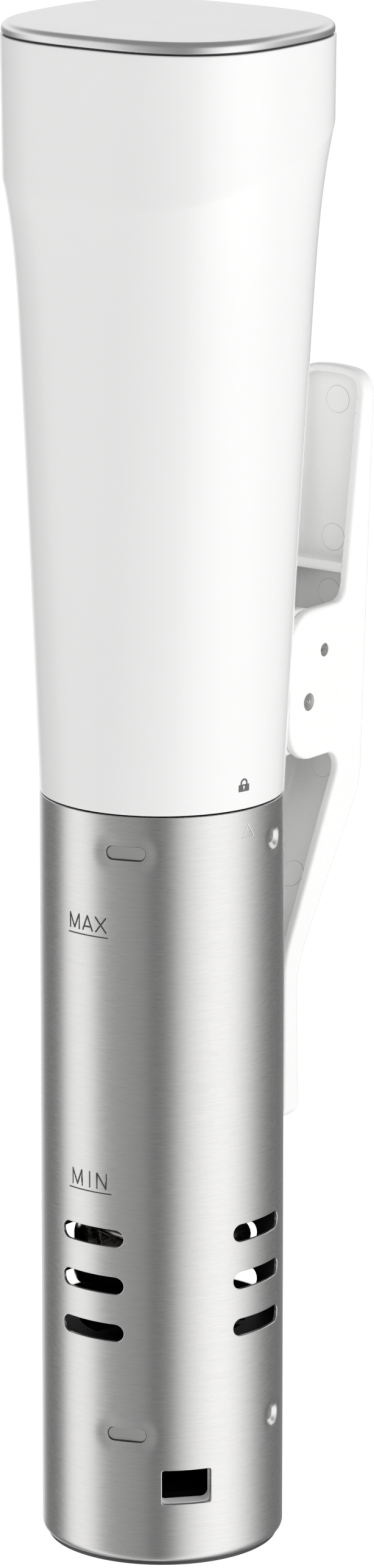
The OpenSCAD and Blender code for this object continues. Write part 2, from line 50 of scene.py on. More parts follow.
scene = bpy.context.scene


# ============================================================ small helpers
def smooth01(a, b, x):
    t = np.clip((x - a) / (b - a), 0.0, 1.0)
    return t * t * (3 - 2 * t)


def mesh_from(name, verts, faces, normals=None, sharp=None):
    me = bpy.data.meshes.new(name)
    me.from_pydata((np.asarray(verts, float) * MM).tolist(), [], faces)
    me.update()
    me.shade_smooth()
    if sharp is not None:
        me.set_sharp_from_angle(angle=math.radians(sharp))
    if normals is not None:
        n = np.asarray(normals, float)
        n = n / np.maximum(np.linalg.norm(n, axis=1), 1e-12)[:, None]
        me.normals_split_custom_set_from_vertices(n.tolist())
    return me


def piece(name, me, body, mat, slot, *nodes):
    ob = bpy.data.objects.new(name, me)
    scene.collection.objects.link(ob)
    me.materials.clear()
    me.materials.append(mat)
    if body:
        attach(ob, body)
    if nodes:
        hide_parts(*nodes)
    return ob


def grid_faces(m, n, close_v=False):
    """Quads between m closed rings of n points, outward for rings that go up and turn with the angle."""
    j, i = np.meshgrid(np.arange(m if close_v else m - 1), np.arange(n), indexing="ij")
    a = j * n + i
    b = j * n + (i + 1) % n
    k = (j + 1) % m
    c = k * n + (i + 1) % n
    d = k * n + i
    return np.stack([a, b, c, d], -1).reshape(-1, 4)


def lathe(profile, n=96, centre=(0, 0), caps=True):
    """Rings of the profile's (radius, height) points, outside going up; radius 0 closes on the axis."""
    p = np.asarray(profile, float)
    t = np.linspace(0, 2 * math.pi, n, endpoint=False)
    v = np.zeros((len(p), n, 3))
    v[..., 0] = centre[0] + p[:, :1] * np.cos(t)
    v[..., 1] = centre[1] + p[:, :1] * np.sin(t)
    v[..., 2] = p[:, 1:2]
    f = grid_faces(len(p), n).tolist()
    if caps:
        f.append(list(range(n))[::-1])
        f.append([(len(p) - 1) * n + i for i in range(n)])
    return v.reshape(-1, 3), f


def closed_lathe(profile, n=96, centre=(0, 0)):
    """A ring whose closed profile goes round counter-clockwise in (radius, height)."""
    p = np.asarray(profile, float)
    t = np.linspace(0, 2 * math.pi, n, endpoint=False)
    v = np.zeros((len(p), n, 3))
    v[..., 0] = centre[0] + p[:, :1] * np.cos(t)
    v[..., 1] = centre[1] + p[:, :1] * np.sin(t)
    v[..., 2] = p[:, 1:2]
    return v.reshape(-1, 3), grid_faces(len(p), n, True).tolist()


def arc(c, r, a0, a1, n):
    return [(c[0] + r * math.cos(math.radians(a0 + (a1 - a0) * i / n)),
             c[1] + r * math.sin(math.radians(a0 + (a1 - a0) * i / n))) for i in range(n + 1)]


def along_x(v):
    """Turns a lathe made round Z so that its axis is X."""
    return np.stack([v[:, 2], v[:, 0], v[:, 1]], 1)


def sweep(p, q, r, n=20, caps=True):
    """A round tube of radius r along p, framed by q."""
    p, q = np.asarray(p, float), np.asarray(q, float)
    tan = np.gradient(p, axis=0)
    tan /= np.linalg.norm(tan, axis=1)[:, None]
    u = q - tan * np.sum(q * tan, 1)[:, None]
    u /= np.linalg.norm(u, axis=1)[:, None]
    w = np.cross(tan, u)
    a = np.linspace(0, 2 * math.pi, n, endpoint=False)
    v = p[:, None] + r * (np.cos(a)[None, :, None] * u[:, None] + np.sin(a)[None, :, None] * w[:, None])
    f = grid_faces(len(p), n).tolist()
    if caps:
        f.append(list(range(n))[::-1])
        f.append([(len(p) - 1) * n + i for i in range(n)])
    return v.reshape(-1, 3), f


def catmull(p, k):
    p = np.asarray(p, float)
    e = np.vstack([2 * p[0] - p[1], p, 2 * p[-1] - p[-2]])
    out = []
    for i in range(1, len(e) - 2):
        a, b, c, d = e[i - 1], e[i], e[i + 1], e[i + 2]
        for s in np.arange(k) / k:
            out.append(0.5 * (2 * b + (c - a) * s + (2 * a - 5 * b + 4 * c - d) * s * s + (3 * b - a - 3 * c + d) * s ** 3))
    out.append(p[-1])
    return np.array(out)


# ------------------------------------------------------------ distance fields
def corner(p0, p1, p2, r, n):
    p0, p1, p2 = (np.array(p, float) for p in (p0, p1, p2))
    if r <= 0:
        return [p1]
    unit = lambda v: v / np.linalg.norm(v)
    a, b = unit(p0 - p1), unit(p2 - p1)
    half = math.acos(float(a @ b)) / 2
    d = r / math.tan(half)
    c = p1 + unit(a + b) * (r / math.sin(half))
    t1, t2 = p1 + a * d - c, p1 + b * d - c
    g1, g2 = math.atan2(t1[1], t1[0]), math.atan2(t2[1], t2[0])
    dg = (g2 - g1 + math.pi) % (2 * math.pi) - math.pi
    return [c + r * np.array([math.cos(g1 + dg * i / n), math.sin(g1 + dg * i / n)]) for i in range(n + 1)]


def rounded(q, n=9):
    out = []
    for i in range(len(q)):
        p0, p1, p2 = q[i - 1], q[i], q[(i + 1) % len(q)]
        out += corner(p0[:2], p1[:2], p2[:2], p1[2], n)
    return np.array(out)


def sd_poly(px, py, poly):
    px, py = np.broadcast_arrays(px, py)
    d = np.full(px.shape, 1e18)
    inside = np.zeros(px.shape, bool)
    for i in range(len(poly)):
        a, b = poly[i - 1], poly[i]
        e = b - a
        ee = float(e @ e)
        if ee < 1e-12:
            continue
        wx, wy = px - a[0], py - a[1]
        t = np.clip((wx * e[0] + wy * e[1]) / ee, 0, 1)
        d = np.minimum(d, (wx - e[0] * t) ** 2 + (wy - e[1] * t) ** 2)
        if a[1] != b[1]:
            cross = (a[1] > py) != (b[1] > py)
            inside ^= cross & (px < a[0] + (py - a[1]) / (b[1] - a[1]) * (b[0] - a[0]))
    return np.where(inside, -1.0, 1.0) * np.sqrt(d)


def f_and(a, b, r):
    if r <= 0:
        return np.maximum(a, b)
    return np.minimum(np.maximum(a + r, b + r), 0) + np.hypot(np.maximum(a + r, 0), np.maximum(b + r, 0)) - r


def f_or(a, b, r):
    return -f_and(-a, -b, r)


def f_box(x, y, z, c, h, r=0.0):
    qx, qy, qz = abs(x - c[0]) - h[0] + r, abs(y - c[1]) - h[1] + r, abs(z - c[2]) - h[2] + r
    return (np.sqrt(np.maximum(qx, 0) ** 2 + np.maximum(qy, 0) ** 2 + np.maximum(qz, 0) ** 2)
            + np.minimum(np.maximum(qx, np.maximum(qy, qz)), 0) - r)


def nets(f, lo, hi, h, steps=3):
    """Quads over the zero surface of f: naive surface nets, then moved onto the surface. Returns points, faces, normals."""
    ax = [np.arange(lo[k] - h, hi[k] + 1.5 * h, h) for k in range(3)]
    X, Y, Z = ax[0][:, None, None], ax[1][None, :, None], ax[2][None, None, :]
    F = np.broadcast_to(f(X, Y, Z), [len(a) for a in ax]).astype(float)
    S = F < 0
    n = [len(a) for a in ax]
    cs = (n[0] - 1, n[1] - 1, n[2] - 1)
    acc = np.zeros(cs + (3,))
    cnt = np.zeros(cs, int)
    edges = []
    for axis in range(3):
        sl0 = [slice(None)] * 3
        sl1 = [slice(None)] * 3
        sl0[axis], sl1[axis] = slice(0, -1), slice(1, None)
        a, b = F[tuple(sl0)], F[tuple(sl1)]
        hit = S[tuple(sl0)] != S[tuple(sl1)]
        t = np.where(hit, a / np.where(hit, a - b, 1.0), 0.0)
        edges.append(hit)
        o = [k for k in range(3) if k != axis]
        for da in (0, 1):
            for db in (0, 1):
                s = [slice(None)] * 3
                s[o[0]] = slice(da, da + cs[o[0]])
                s[o[1]] = slice(db, db + cs[o[1]])
                hh, tt = hit[tuple(s)], t[tuple(s)]
                cnt += hh
                acc[..., axis] += np.where(hh, tt, 0.0)
                acc[..., o[0]] += hh * float(da)
                acc[..., o[1]] += hh * float(db)
    on = cnt > 0
    idx = np.full(cs, -1, int)
    idx[on] = np.arange(on.sum())
    ijk = np.argwhere(on)
    p = (ijk + acc[on] / cnt[on][:, None]) * h + np.array([ax[0][0], ax[1][0], ax[2][0]])
    faces = []
    for axis in range(3):
        o = [(axis + 1) % 3, (axis + 2) % 3]
        e = np.argwhere(edges[axis])
        e = e[(e[:, o[0]] > 0) & (e[:, o[1]] > 0) & (e[:, o[0]] < n[o[0]] - 1) & (e[:, o[1]] < n[o[1]] - 1)]
        q = []
        for d0, d1 in ((-1, -1), (0, -1), (0, 0), (-1, 0)):
            c = e.copy()
            c[:, o[0]] += d0
            c[:, o[1]] += d1
            q.append(idx[c[:, 0], c[:, 1], c[:, 2]])
        q = np.stack(q, 1)
        neg = S[e[:, 0], e[:, 1], e[:, 2]]
        faces.append(np.where(neg[:, None], q, q[:, ::-1]))
    faces = np.concatenate(faces)

    def grad(p, v0):
        g = np.zeros_like(p)
        for k in range(3):
            d = np.zeros(3)
            d[k] = 0.02
            g[:, k] = (f(p[:, 0] + d[0], p[:, 1] + d[1], p[:, 2] + d[2]) - v0) / 0.02
        return g

    for _ in range(steps):
        v0 = f(p[:, 0], p[:, 1], p[:, 2])
        g = grad(p, v0)
        move = (v0 / np.maximum(np.sum(g * g, 1), 0.2))[:, None] * g
        ln = np.linalg.norm(move, axis=1)
        p = p - move * np.minimum(1, 0.6 * h / np.maximum(ln, 1e-9))[:, None]
    g = grad(p, f(p[:, 0], p[:, 1], p[:, 2]))
    return p, faces.tolist(), g


def bool_cut(me, cutters, name):
    """me with the cutter meshes taken away, exactly."""
    ob = bpy.data.objects.new("tmp_cut", me)
    scene.collection.objects.link(ob)
    extra = []
    for k, (v, f) in enumerate(cutters):
        cm = bpy.data.meshes.new("tmp_cutter%d" % k)
        cm.from_pydata((np.asarray(v) * MM).tolist(), [], f)
        cm.update()
        co = bpy.data.objects.new("tmp_cutter%d" % k, cm)
        scene.collection.objects.link(co)
        m = ob.modifiers.new("cut%d" % k, "BOOLEAN")
        m.operation, m.object, m.solver = "DIFFERENCE", co, "EXACT"
        extra.append(co)
    bpy.context.view_layer.update()
    dg = bpy.context.evaluated_depsgraph_get()
    out = bpy.data.meshes.new_from_object(ob.evaluated_get(dg))
    out.name = name
    for o in extra + [ob]:
        bpy.data.objects.remove(o)
    return out


# ============================================================ materials
def material(name, colour, rough, metallic=0.0, grain=(900, 900, 900), detail=3.0, vary=0.04, rough_vary=0.05,
             bump=0.15, depth=0.00002, spots=None, ior=1.5, specular=0.5, aniso=0.0, coat=0.0, sheen=0.0, sss=0.0, trans=0.0,
             broad=(40, 40, 40), broad_vary=0.02):
    """A procedural surface: fine grain for roughness, bump and colour, and a broad slow change of tone."""
    m = bpy.data.materials.new(name)
    m.use_nodes = True
    nt = m.node_tree
    n, l = nt.nodes, nt.links
    b = n["Principled BSDF"]
    b.inputs["Metallic"].default_value = metallic
    b.inputs["IOR"].default_value = ior
    b.inputs["Specular IOR Level"].default_value = specular
    b.inputs["Anisotropic"].default_value = aniso
    b.inputs["Coat Weight"].default_value = coat
    b.inputs["Coat Roughness"].default_value = 0.08
    b.inputs["Sheen Weight"].default_value = sheen
    b.inputs["Subsurface Weight"].default_value = sss
    b.inputs["Transmission Weight"].default_value = trans
    if sss:
        b.inputs["Subsurface Radius"].default_value = (0.004, 0.004, 0.004)
        b.inputs["Subsurface Scale"].default_value = 0.3
    tc = n.new("ShaderNodeTexCoord")

    def noise(scale, det, rgh=0.55):
        mp = n.new("ShaderNodeMapping")
        mp.inputs["Scale"].default_value = scale
        l.new(tc.outputs["Object"], mp.inputs["Vector"])
        t = n.new("ShaderNodeTexNoise")
        t.inputs["Scale"].default_value = 1.0
        t.inputs["Detail"].default_value = det
        t.inputs["Roughness"].default_value = rgh
        l.new(mp.outputs["Vector"], t.inputs["Vector"])
        return t.outputs["Fac"]

    fine = noise(grain, detail)
    slow = noise(broad, 2.0)
    rr = n.new("ShaderNodeMapRange")
    rr.inputs["From Min"].default_value, rr.inputs["From Max"].default_value = 0.25, 0.75
    rr.inputs["To Min"].default_value, rr.inputs["To Max"].default_value = max(0.02, rough - rough_vary), rough + rough_vary
    l.new(fine, rr.inputs["Value"])
    l.new(rr.outputs["Result"], b.inputs["Roughness"])
    c = np.array(colour, float)
    mix = n.new("ShaderNodeMix")
    mix.data_type = "RGBA"
    mix.inputs["A"].default_value = (*np.clip(c * (1 - vary), 0, 1), 1)
    mix.inputs["B"].default_value = (*np.clip(c * (1 + vary), 0, 1), 1)
    l.new(fine, mix.inputs["Factor"])
    mix2 = n.new("ShaderNodeMix")
    mix2.data_type = "RGBA"
    mix2.blend_type = "MULTIPLY"
    mix2.inputs["Factor"].default_value = 1.0
    tone = n.new("ShaderNodeMapRange")
    tone.inputs["From Min"].default_value, tone.inputs["From Max"].default_value = 0.3, 0.7
    tone.inputs["To Min"].default_value, tone.inputs["To Max"].default_value = 1 - broad_vary, 1.0
    l.new(slow, tone.inputs["Value"])
    l.new(mix.outputs["Result"], mix2.inputs["A"])
    l.new(tone.outputs["Result"], mix2.inputs["B"])
    last = mix2.outputs["Result"]
    if spots:
        sp_scale, sp_colour, lo, hi = spots
        s = noise((sp_scale,) * 3, 4.0, 0.65)
        rs = n.new("ShaderNodeMapRange")
        rs.inputs["From Min"].default_value, rs.inputs["From Max"].default_value = lo, hi
        l.new(s, rs.inputs["Value"])
        m3 = n.new("ShaderNodeMix")
        m3.data_type = "RGBA"
        l.new(rs.outputs["Result"], m3.inputs["Factor"])
        l.new(last, m3.inputs["A"])
        m3.inputs["B"].default_value = (*sp_colour, 1)
        last = m3.outputs["Result"]
    l.new(last, b.inputs["Base Color"])
    if bump:
        bp = n.new("ShaderNodeBump")
        bp.inputs["Strength"].default_value = bump
        bp.inputs["Distance"].default_value = depth
        l.new(fine, bp.inputs["Height"])
        l.new(bp.outputs["Normal"], b.inputs["Normal"])
    return m


def brushed(name, colour, rough, aniso, tangent, streak, fine=(260, 260, 5200), bump=0.22, vary=0.05):
    """Steel brushed round its axis: fine short scratches over longer ones."""
    m = material(name, colour, rough, metallic=1.0, grain=fine, detail=4.0, vary=vary, rough_vary=0.06, bump=bump,
                 depth=0.00002, aniso=aniso, broad=streak, broad_vary=0.05)
    nt = m.node_tree
    t = nt.nodes.new("ShaderNodeTangent")
    t.direction_type = "RADIAL"
    t.axis = tangent
    nt.links.new(t.outputs["Tangent"], nt.nodes["Principled BSDF"].inputs["Tangent"])
    nt.nodes["Principled BSDF"].inputs["Anisotropic Rotation"].default_value = 0.25
    return m


WHITE = material("white_gloss", (0.79, 0.79, 0.786), 0.11, grain=(2600,) * 3, vary=0.006, rough_vary=0.03, bump=0.05,
                 depth=0.00001, broad=(14, 14, 14), broad_vary=0.008)
WHITE_TRAY = material("white_moulded", (0.86, 0.86, 0.855), 0.3, grain=(2200,) * 3, vary=0.006, rough_vary=0.04, bump=0.02,
                      depth=0.00001, broad=(30, 30, 30), broad_vary=0.012)
# a lighter white for the outlet nozzle only: painted light on the ledge seen through the window
WHITE_LIP_PAINTED_LIGHT = material("white_outlet_painted_light", (0.95, 0.95, 0.945), 0.4, grain=(2200,) * 3, vary=0.005, rough_vary=0.04, bump=0.02, depth=0.00001)
STEEL = brushed("steel_brushed", (0.72, 0.715, 0.71), 0.3, 0.75, "Z", (110, 110, 3000), fine=(420, 420, 6400), bump=0.28, vary=0.16)
# dark steel for the engraved strokes and the long pressings' rims: painted shade in the grooves and along the pressed
# edge
STEEL_GROOVE_SHADE = material("steel_painted_groove_shade", (0.12, 0.118, 0.116), 0.45, metallic=1.0, grain=(3000, 3000, 3000), vary=0.3, rough_vary=0.1, bump=0.4)
# near-black steel for the tube's inner face and the shaft tube: painted shade inside the sleeve
STEEL_IN_PAINTED_SHADE = material("steel_inside_painted_shade", (0.022, 0.022, 0.0215), 0.55, metallic=1.0, grain=(200, 200, 2600), vary=0.1, rough_vary=0.08,
                    bump=0.3, depth=0.00002)
LID = material("lid_satin", (0.8, 0.8, 0.805), 0.37, metallic=1.0, grain=(5200,) * 3, detail=2.0, vary=0.09, rough_vary=0.07,
               bump=0.5, depth=0.00002, broad=(60, 60, 60), broad_vary=0.02)
BLACK = material("black_polymer", (0.0045, 0.0045, 0.005), 0.5, specular=0.06, grain=(1800,) * 3, vary=0.2, rough_vary=0.08, bump=0.2, depth=0.00002)
RUBBER = material("black_rubber", (0.02, 0.02, 0.021), 0.6, grain=(1500,) * 3, vary=0.2, rough_vary=0.08, bump=0.25, depth=0.00003)
PAD = material("grey_rubber", (0.16, 0.16, 0.165), 0.58, grain=(1700,) * 3, vary=0.12, rough_vary=0.08, bump=0.3, depth=0.00003)
BASE = material("base_grey", (0.045, 0.045, 0.046), 0.45, grain=(1900,) * 3, vary=0.12, rough_vary=0.08, bump=0.2, depth=0.00002)
TURNED = brushed("steel_turned", (0.6, 0.595, 0.59), 0.3, 0.5, "X", (3000, 900, 900), fine=(4000, 1500, 1500), bump=0.3)
MOTTLED = material("steel_pin", (0.5, 0.495, 0.49), 0.42, metallic=1.0, grain=(2600,) * 3, vary=0.25, rough_vary=0.12, bump=0.6,
                   depth=0.00004, spots=(1800, (0.12, 0.12, 0.12), 0.5, 0.75))
SPRING = material("spring_steel", (0.5, 0.5, 0.51), 0.3, metallic=1.0, grain=(1500,) * 3, vary=0.08, bump=0.15)
SHAFT = material("ground_steel", (0.62, 0.62, 0.62), 0.22, metallic=1.0, grain=(150, 150, 3000), vary=0.06, bump=0.15)
HEATER = material("heater_sheath", (0.86, 0.84, 0.81), 0.26, metallic=1.0, grain=(300, 300, 2000), vary=0.1, rough_vary=0.1,
                  bump=0.3, depth=0.00003, spots=(160, (0.34, 0.29, 0.24), 0.5, 0.85))
SCREW = material("zinc_screw", (0.55, 0.55, 0.56), 0.32, metallic=1.0, grain=(2000,) * 3, vary=0.1, bump=0.2)
BRASS = material("brass", (0.62, 0.48, 0.24), 0.34, metallic=1.0, grain=(1200,) * 3, vary=0.1, bump=0.2)
# grey for the edge ring of the ejector marks: painted shade line round each mark
RING_SHADE = material("painted_ring_shade", (0.56, 0.56, 0.56), 0.5, grain=(3000,) * 3, vary=0.05, bump=0.05)
MARK = material("grey_ink", (0.11, 0.11, 0.115), 0.5, grain=(4000,) * 3, vary=0.08, bump=0.1)
PCB = material("board_green", (0.012, 0.07, 0.03), 0.38, grain=(700,) * 3, vary=0.15, bump=0.1, spots=(260, (0.03, 0.11, 0.05), 0.45, 0.6))
PARTS = material("board_parts", (0.03, 0.04, 0.11), 0.4, grain=(500,) * 3, vary=0.3, bump=0.2)
GLASS = material("window_plastic", (0.78, 0.79, 0.79), 0.12, grain=(1500,) * 3, vary=0.01, bump=0.03)
SCREEN = material("screen_black", (0.015, 0.016, 0.02), 0.15, grain=(1200,) * 3, vary=0.2, bump=0.05)
DARK = material("frame_polymer", (0.035, 0.035, 0.037), 0.5, grain=(900,) * 3, vary=0.15, bump=0.25, depth=0.00004)
MOTOR = material("motor_can", (0.5, 0.5, 0.51), 0.3, metallic=1.0, grain=(120, 120, 1800), vary=0.08, bump=0.2)
IMPELLER = material("impeller_polymer", (0.006, 0.006, 0.0062), 0.5, specular=0.06, grain=(1300,) * 3, vary=0.05, bump=0.15)
SEAL = material("seal_red", (0.32, 0.07, 0.04), 0.5, grain=(1300,) * 3, vary=0.12, bump=0.2)


# ============================================================ white head
def crease(t):
    return 136.2 + 20.5 * ((1 - np.cos(np.radians(t))) / 2) ** 1.3


def morph(h, t):
    zc = crease(t)
    z0 = 0.72 * zc
    return np.where(h >= zc, 1.0, 0.0053 * h + (1 - 0.0053 * zc) * np.maximum(0, (h - z0) / (zc - z0)) ** 3)


def skin(h, t, d=0.0):
    """Points of the head's outer surface, inset by d, at height h above the joint and angle t from the front."""
    h, t, d = np.broadcast_arrays(np.asarray(h, float), np.asarray(t, float), np.asarray(d, float))
    w = morph(h, t)
    taper = 0.0095 * (170.1 - h)
    a = R + (34.6 - taper - R) * w - d
    b = R + (31.8 - taper - R) * w - d
    e = 2 / (2 + 0.85 * w)
    s, c = np.sin(np.radians(t)), np.cos(np.radians(t))
    return np.stack([a * np.sign(s) * np.abs(s) ** e, 2.5 * w - b * np.sign(c) * np.abs(c) ** e, J + h], -1)


N_HEAD = 288
T_HEAD = np.arange(N_HEAD) * 360.0 / N_HEAD
# the squarer outline bunches its points at the corners; the angles are left evenly spaced
T_HEAD = T_HEAD + 0.0


def head_shell():
    rings = []
    for a in np.linspace(0, 90, 6):                                   # rounded lower lip
        rings.append(skin(np.full(N_HEAD, 0.35 * (1 - math.cos(math.radians(a)))) + 0.05, T_HEAD, 0.35 * (1 - math.sin(math.radians(a)))))
    low = np.concatenate([np.linspace(0.008, 0.70, 34), np.linspace(0.715, 0.965, 34)[0:], np.linspace(0.972, 1.0, 9)])
    zc = crease(T_HEAD)
    for s in low:
        rings.append(skin(s * zc, T_HEAD))
    for s in np.concatenate([np.linspace(0.03, 0.9, 12), [0.96, 0.985]]):
        rings.append(skin(zc + (170.1 - 0.25 - zc) * s, T_HEAD))
    for a in np.linspace(0, 90, 5):                                   # upper edge
        rings.append(skin(np.full(N_HEAD, 170.1 - 0.25 + 0.25 * math.sin(math.radians(a))), T_HEAD, 0.25 * (1 - math.cos(math.radians(a)))))
    rings.append(skin(np.full(N_HEAD, 170.1), T_HEAD, 2.3))
    for s in (0.98, 0.9, 0.8, 0.68, 0.5, 0.3, 0.1):
        rings.append(skin(s * zc, T_HEAD, 2.3))
    rings.append(skin(np.full(N_HEAD, 0.05), T_HEAD, 2.3))
    v = np.array(rings)
    f = grid_faces(len(rings), N_HEAD, True).tolist()
    return v.reshape(-1, 3), f


def cyl_y(r, y0, y1, z, n=48):
    v, f = lathe([(r, y0), (r, y1)], n)
    return np.stack([v[:, 0], v[:, 2], z - v[:, 1]], 1), f


v, f = head_shell()
me = mesh_from("head_shell", v, f)
me = bool_cut(me, [cyl_y(5.5, 28, 40, 326.0)], "head_shell")
me.shade_smooth()
me.set_sharp_from_angle(angle=math.radians(40))
piece("head_shell", me, "body", WHITE, "white_plastic", "housing")

# boss round the gland: a flat ring that grows out of the wall
ang = np.linspace(0, 2 * math.pi, 72, endpoint=False)
prof = [(9.2, -0.12), (8.5, 0.06), (7.95, 0.35), (7.65, 0.9), (7.6, 1.4), (7.58, 1.75), (7.5, 1.93), (7.35, 2.0), (5.5, 2.0), (5.5, -1.2), (7.6, -1.2)]
rows = []
for r_, up in prof:
    row = []
    for a in ang:
        x, z = r_ * math.sin(a), 326 + r_ * math.cos(a)
        # wall height there
        h = z - J
        tt = 180 - math.degrees(math.asin(min(0.9, x / 33.0)))
        w = float(morph(h, tt))
        taper = 0.0095 * (170.1 - h)
        aa, bb, e = R + (34.6 - taper - R) * w, R + (31.8 - taper - R) * w, 2 / (2 + 0.85 * w)
        cs = max(0.0, 1 - abs(x / aa) ** (2 / e)) ** (e / 2)
        wall = 2.5 * w + bb * cs
        t_ = min(1.0, max(0.0, up / 1.4))
        y = (wall + min(up, 0.35)) * (1 - t_) + (34.6 - 2.0 + up) * t_ if up > 0 else wall + up
        if up == 2.0:
            y = 34.6
        if up == 1.93:
            y = 34.53
        row.append((x, y, z))
    rows.append(row)
v = np.array(rows).reshape(-1, 3)
f = grid_faces(len(rows), 72, True)[:, ::-1].tolist()
piece("gland_boss", mesh_from("gland_boss", v, f, sharp=50), "body", WHITE, "white_plastic")


# ------------------------------------------------------------ lid and gasket
def lid():
    z0, t = 345.8, 2.6
    zr = 170.1
    g = 0.27                                                          # the lid stands a little inside the head
    prof = [(g + 0.3, 0.0), (g + 0.14, 0.06), (g + 0.04, 0.18), (g, 0.36), (g, 0.6), (g, 0.85), (g, 1.05)]
    prof += [(g + 1.75 * (1 - math.cos(math.radians(a))), 1.05 + 1.5 * math.sin(math.radians(a))) for a in np.linspace(5, 90, 18)]
    prof += [(g + 2.6, t - 0.025), (g + 3.8, t - 0.008), (g + 5.5, t)]
    rings = []
    for d, z in prof:
        p = skin(np.full(N_HEAD, zr), T_HEAD, d)
        p[:, 2] = z0 + z
        rings.append(p)
    c = np.array([0, 2.5, 0])
    for s in (0.8, 0.6, 0.4, 0.2, 0.07):
        p = rings[len(prof) - 1].copy()
        p[:, :2] = c[:2] + (p[:, :2] - c[:2]) * s
        rings.append(p)
    bottom = []
    for d in (2.45, 4.5):
        p = skin(np.full(N_HEAD, zr), T_HEAD, d)
        p[:, 2] = z0
        bottom.append(p)
    sp = []
    for d, z in ((4.5, -5.0), (2.45, -5.0)):
        p = skin(np.full(N_HEAD, zr), T_HEAD, d)
        p[:, 2] = z0 + z
        sp.append(p)
    # under side: a plate closed by the spigot ring
    order = [bottom[1], sp[0], sp[1], bottom[0]] + rings
    inner = bottom[1].copy()
    c2 = inner.copy()
    c2[:, :2] = c[:2] + (inner[:, :2] - c[:2]) * 0.05
    order = [c2] + order
    v = np.array(order)
    f = grid_faces(len(order), N_HEAD).tolist()
    f.append([(len(order) - 1) * N_HEAD + i for i in range(N_HEAD)])
    f.append(list(range(N_HEAD))[::-1])
    return v.reshape(-1, 3), f


v, f = lid()
piece("lid_plate", mesh_from("lid_plate", v, f, sharp=50), "body", LID, "lid_aluminium", "top_lid")

rings = []
for d, z in ((2.45, 345.4), (0.72, 345.4), (0.6, 345.46), (0.6, 345.74), (0.72, 345.8), (2.45, 345.8)):
    p = skin(np.full(N_HEAD, 170.1), T_HEAD, d)
    p[:, 2] = z
    rings.append(p)
piece("lid_seal", mesh_from("lid_seal", np.array(rings).reshape(-1, 3), grid_faces(6, N_HEAD, True).tolist(), sharp=50),
      "body", RUBBER, "black_rubber", "lid_gasket")

# ------------------------------------------------------------ cord gland
gp = [(3.2, 28.2), (3.2, 36.1)] + arc((3.9, 36.1), 0.7, 180, 90, 5) + [(5.6, 36.8)] + arc((5.9, 36.1), 0.7, 90, 0, 5)[0:] + \
     [(6.6, 34.75), (6.45, 34.6), (5.45, 34.6), (5.45, 30.3), (6.4, 30.3), (6.6, 30.1), (6.6, 28.4), (6.4, 28.2)]
v, f = closed_lathe(gp[::-1], 72)
v = np.stack([v[:, 0], v[:, 2], 326.0 - v[:, 1]], 1)
piece("gland_ring", mesh_from("gland_ring", v, f, sharp=40), "body", RUBBER, "black_rubber", "cord_gland")


# ============================================================ padlock mark
def lock_mark():
    def wrap(a, b, d):
        t = 77.5 + math.degrees(a / 27.7)
        return skin(b, t, d)
    verts, faces = [], []

    def strip(outer, inner, closed):
        base = len(verts)
        m = len(outer)
        for o, i in zip(outer, inner):
            for q in (o, i):
                verts.append(wrap(q[0], q[1], -0.04))
                verts.append(wrap(q[0], q[1], 0.03))
        for k in range(m if closed else m - 1):
            a, b = base + 4 * k, base + 4 * ((k + 1) % m)
            faces.append([a, a + 2, b + 2, b])
            faces.append([a, b, b + 1, a + 1])
            faces.append([a + 2, a + 3, b + 3, b + 2])
            faces.append([a + 1, b + 1, b + 3, a + 3])
        if not closed:
            a, b = base, base + 4 * (m - 1)
            faces.append([a, a + 1, a + 3, a + 2])
            faces.append([b, b + 2, b + 3, b + 1])

    # body: a plate with a keyhole, as a closed strip between outline and keyhole
    n = 64
    box = rounded([(-1.55, 4.18, 0.12), (1.55, 4.18, 0.12), (1.55, 5.82, 0.12), (-1.55, 5.82, 0.12)], 4)
    hole = [(0.28 * math.cos(a), 5.22 + 0.28 * math.sin(a)) for a in np.radians(np.linspace(-50, 230, 17))] + [(-0.13, 4.62), (0.13, 4.62)]

    def resample(poly, n):
        poly = np.array(list(poly) + [poly[0]])
        s = np.concatenate([[0], np.cumsum(np.linalg.norm(np.diff(poly, axis=0), axis=1))])
        u = np.linspace(0, s[-1], n, endpoint=False)
        return np.stack([np.interp(u, s, poly[:, 0]), np.interp(u, s, poly[:, 1])], 1)

    def by_angle(poly, c, n):
        """Points of poly on n rays from c."""
        out = []
        poly = np.array(list(poly))
        for a in np.linspace(-math.pi, math.pi, n, endpoint=False):
            d = np.array([math.cos(a), math.sin(a)])
            best = 0
            for i in range(len(poly)):
                p, q = poly[i - 1] - c, poly[i] - c
                e = q - p
                den = d[0] * e[1] - d[1] * e[0]
                if abs(den) < 1e-12:
                    continue
                s = (p[0] * e[1] - p[1] * e[0]) / den
                t = (p[0] * d[1] - p[1] * d[0]) / den
                if -1e-9 <= t <= 1 + 1e-9 and s > best:
                    best = s
            out.append(c + d * best)
        return out
    c = np.array([0, 5.0])
    strip(by_angle(box, c, n), by_angle(hole, c, n), True)
    path_o = [(-1.02, 5.7)] + [(-1.02 * math.cos(a), 6.15 + 1.02 * math.sin(a)) for a in np.radians(np.linspace(0, 180, 25))] + [(1.02, 5.7)]
    path_i = [(-0.6, 5.7)] + [(-0.6 * math.cos(a), 6.15 + 0.6 * math.sin(a)) for a in np.radians(np.linspace(0, 180, 25))] + [(0.6, 5.7)]
    strip(path_o, path_i, False)
    return np.array(verts), faces


v, f = lock_mark()
me = mesh_from("lock_mark", v, f, sharp=30)
piece("lock_mark", me, "body", MARK, "dark_plastic")


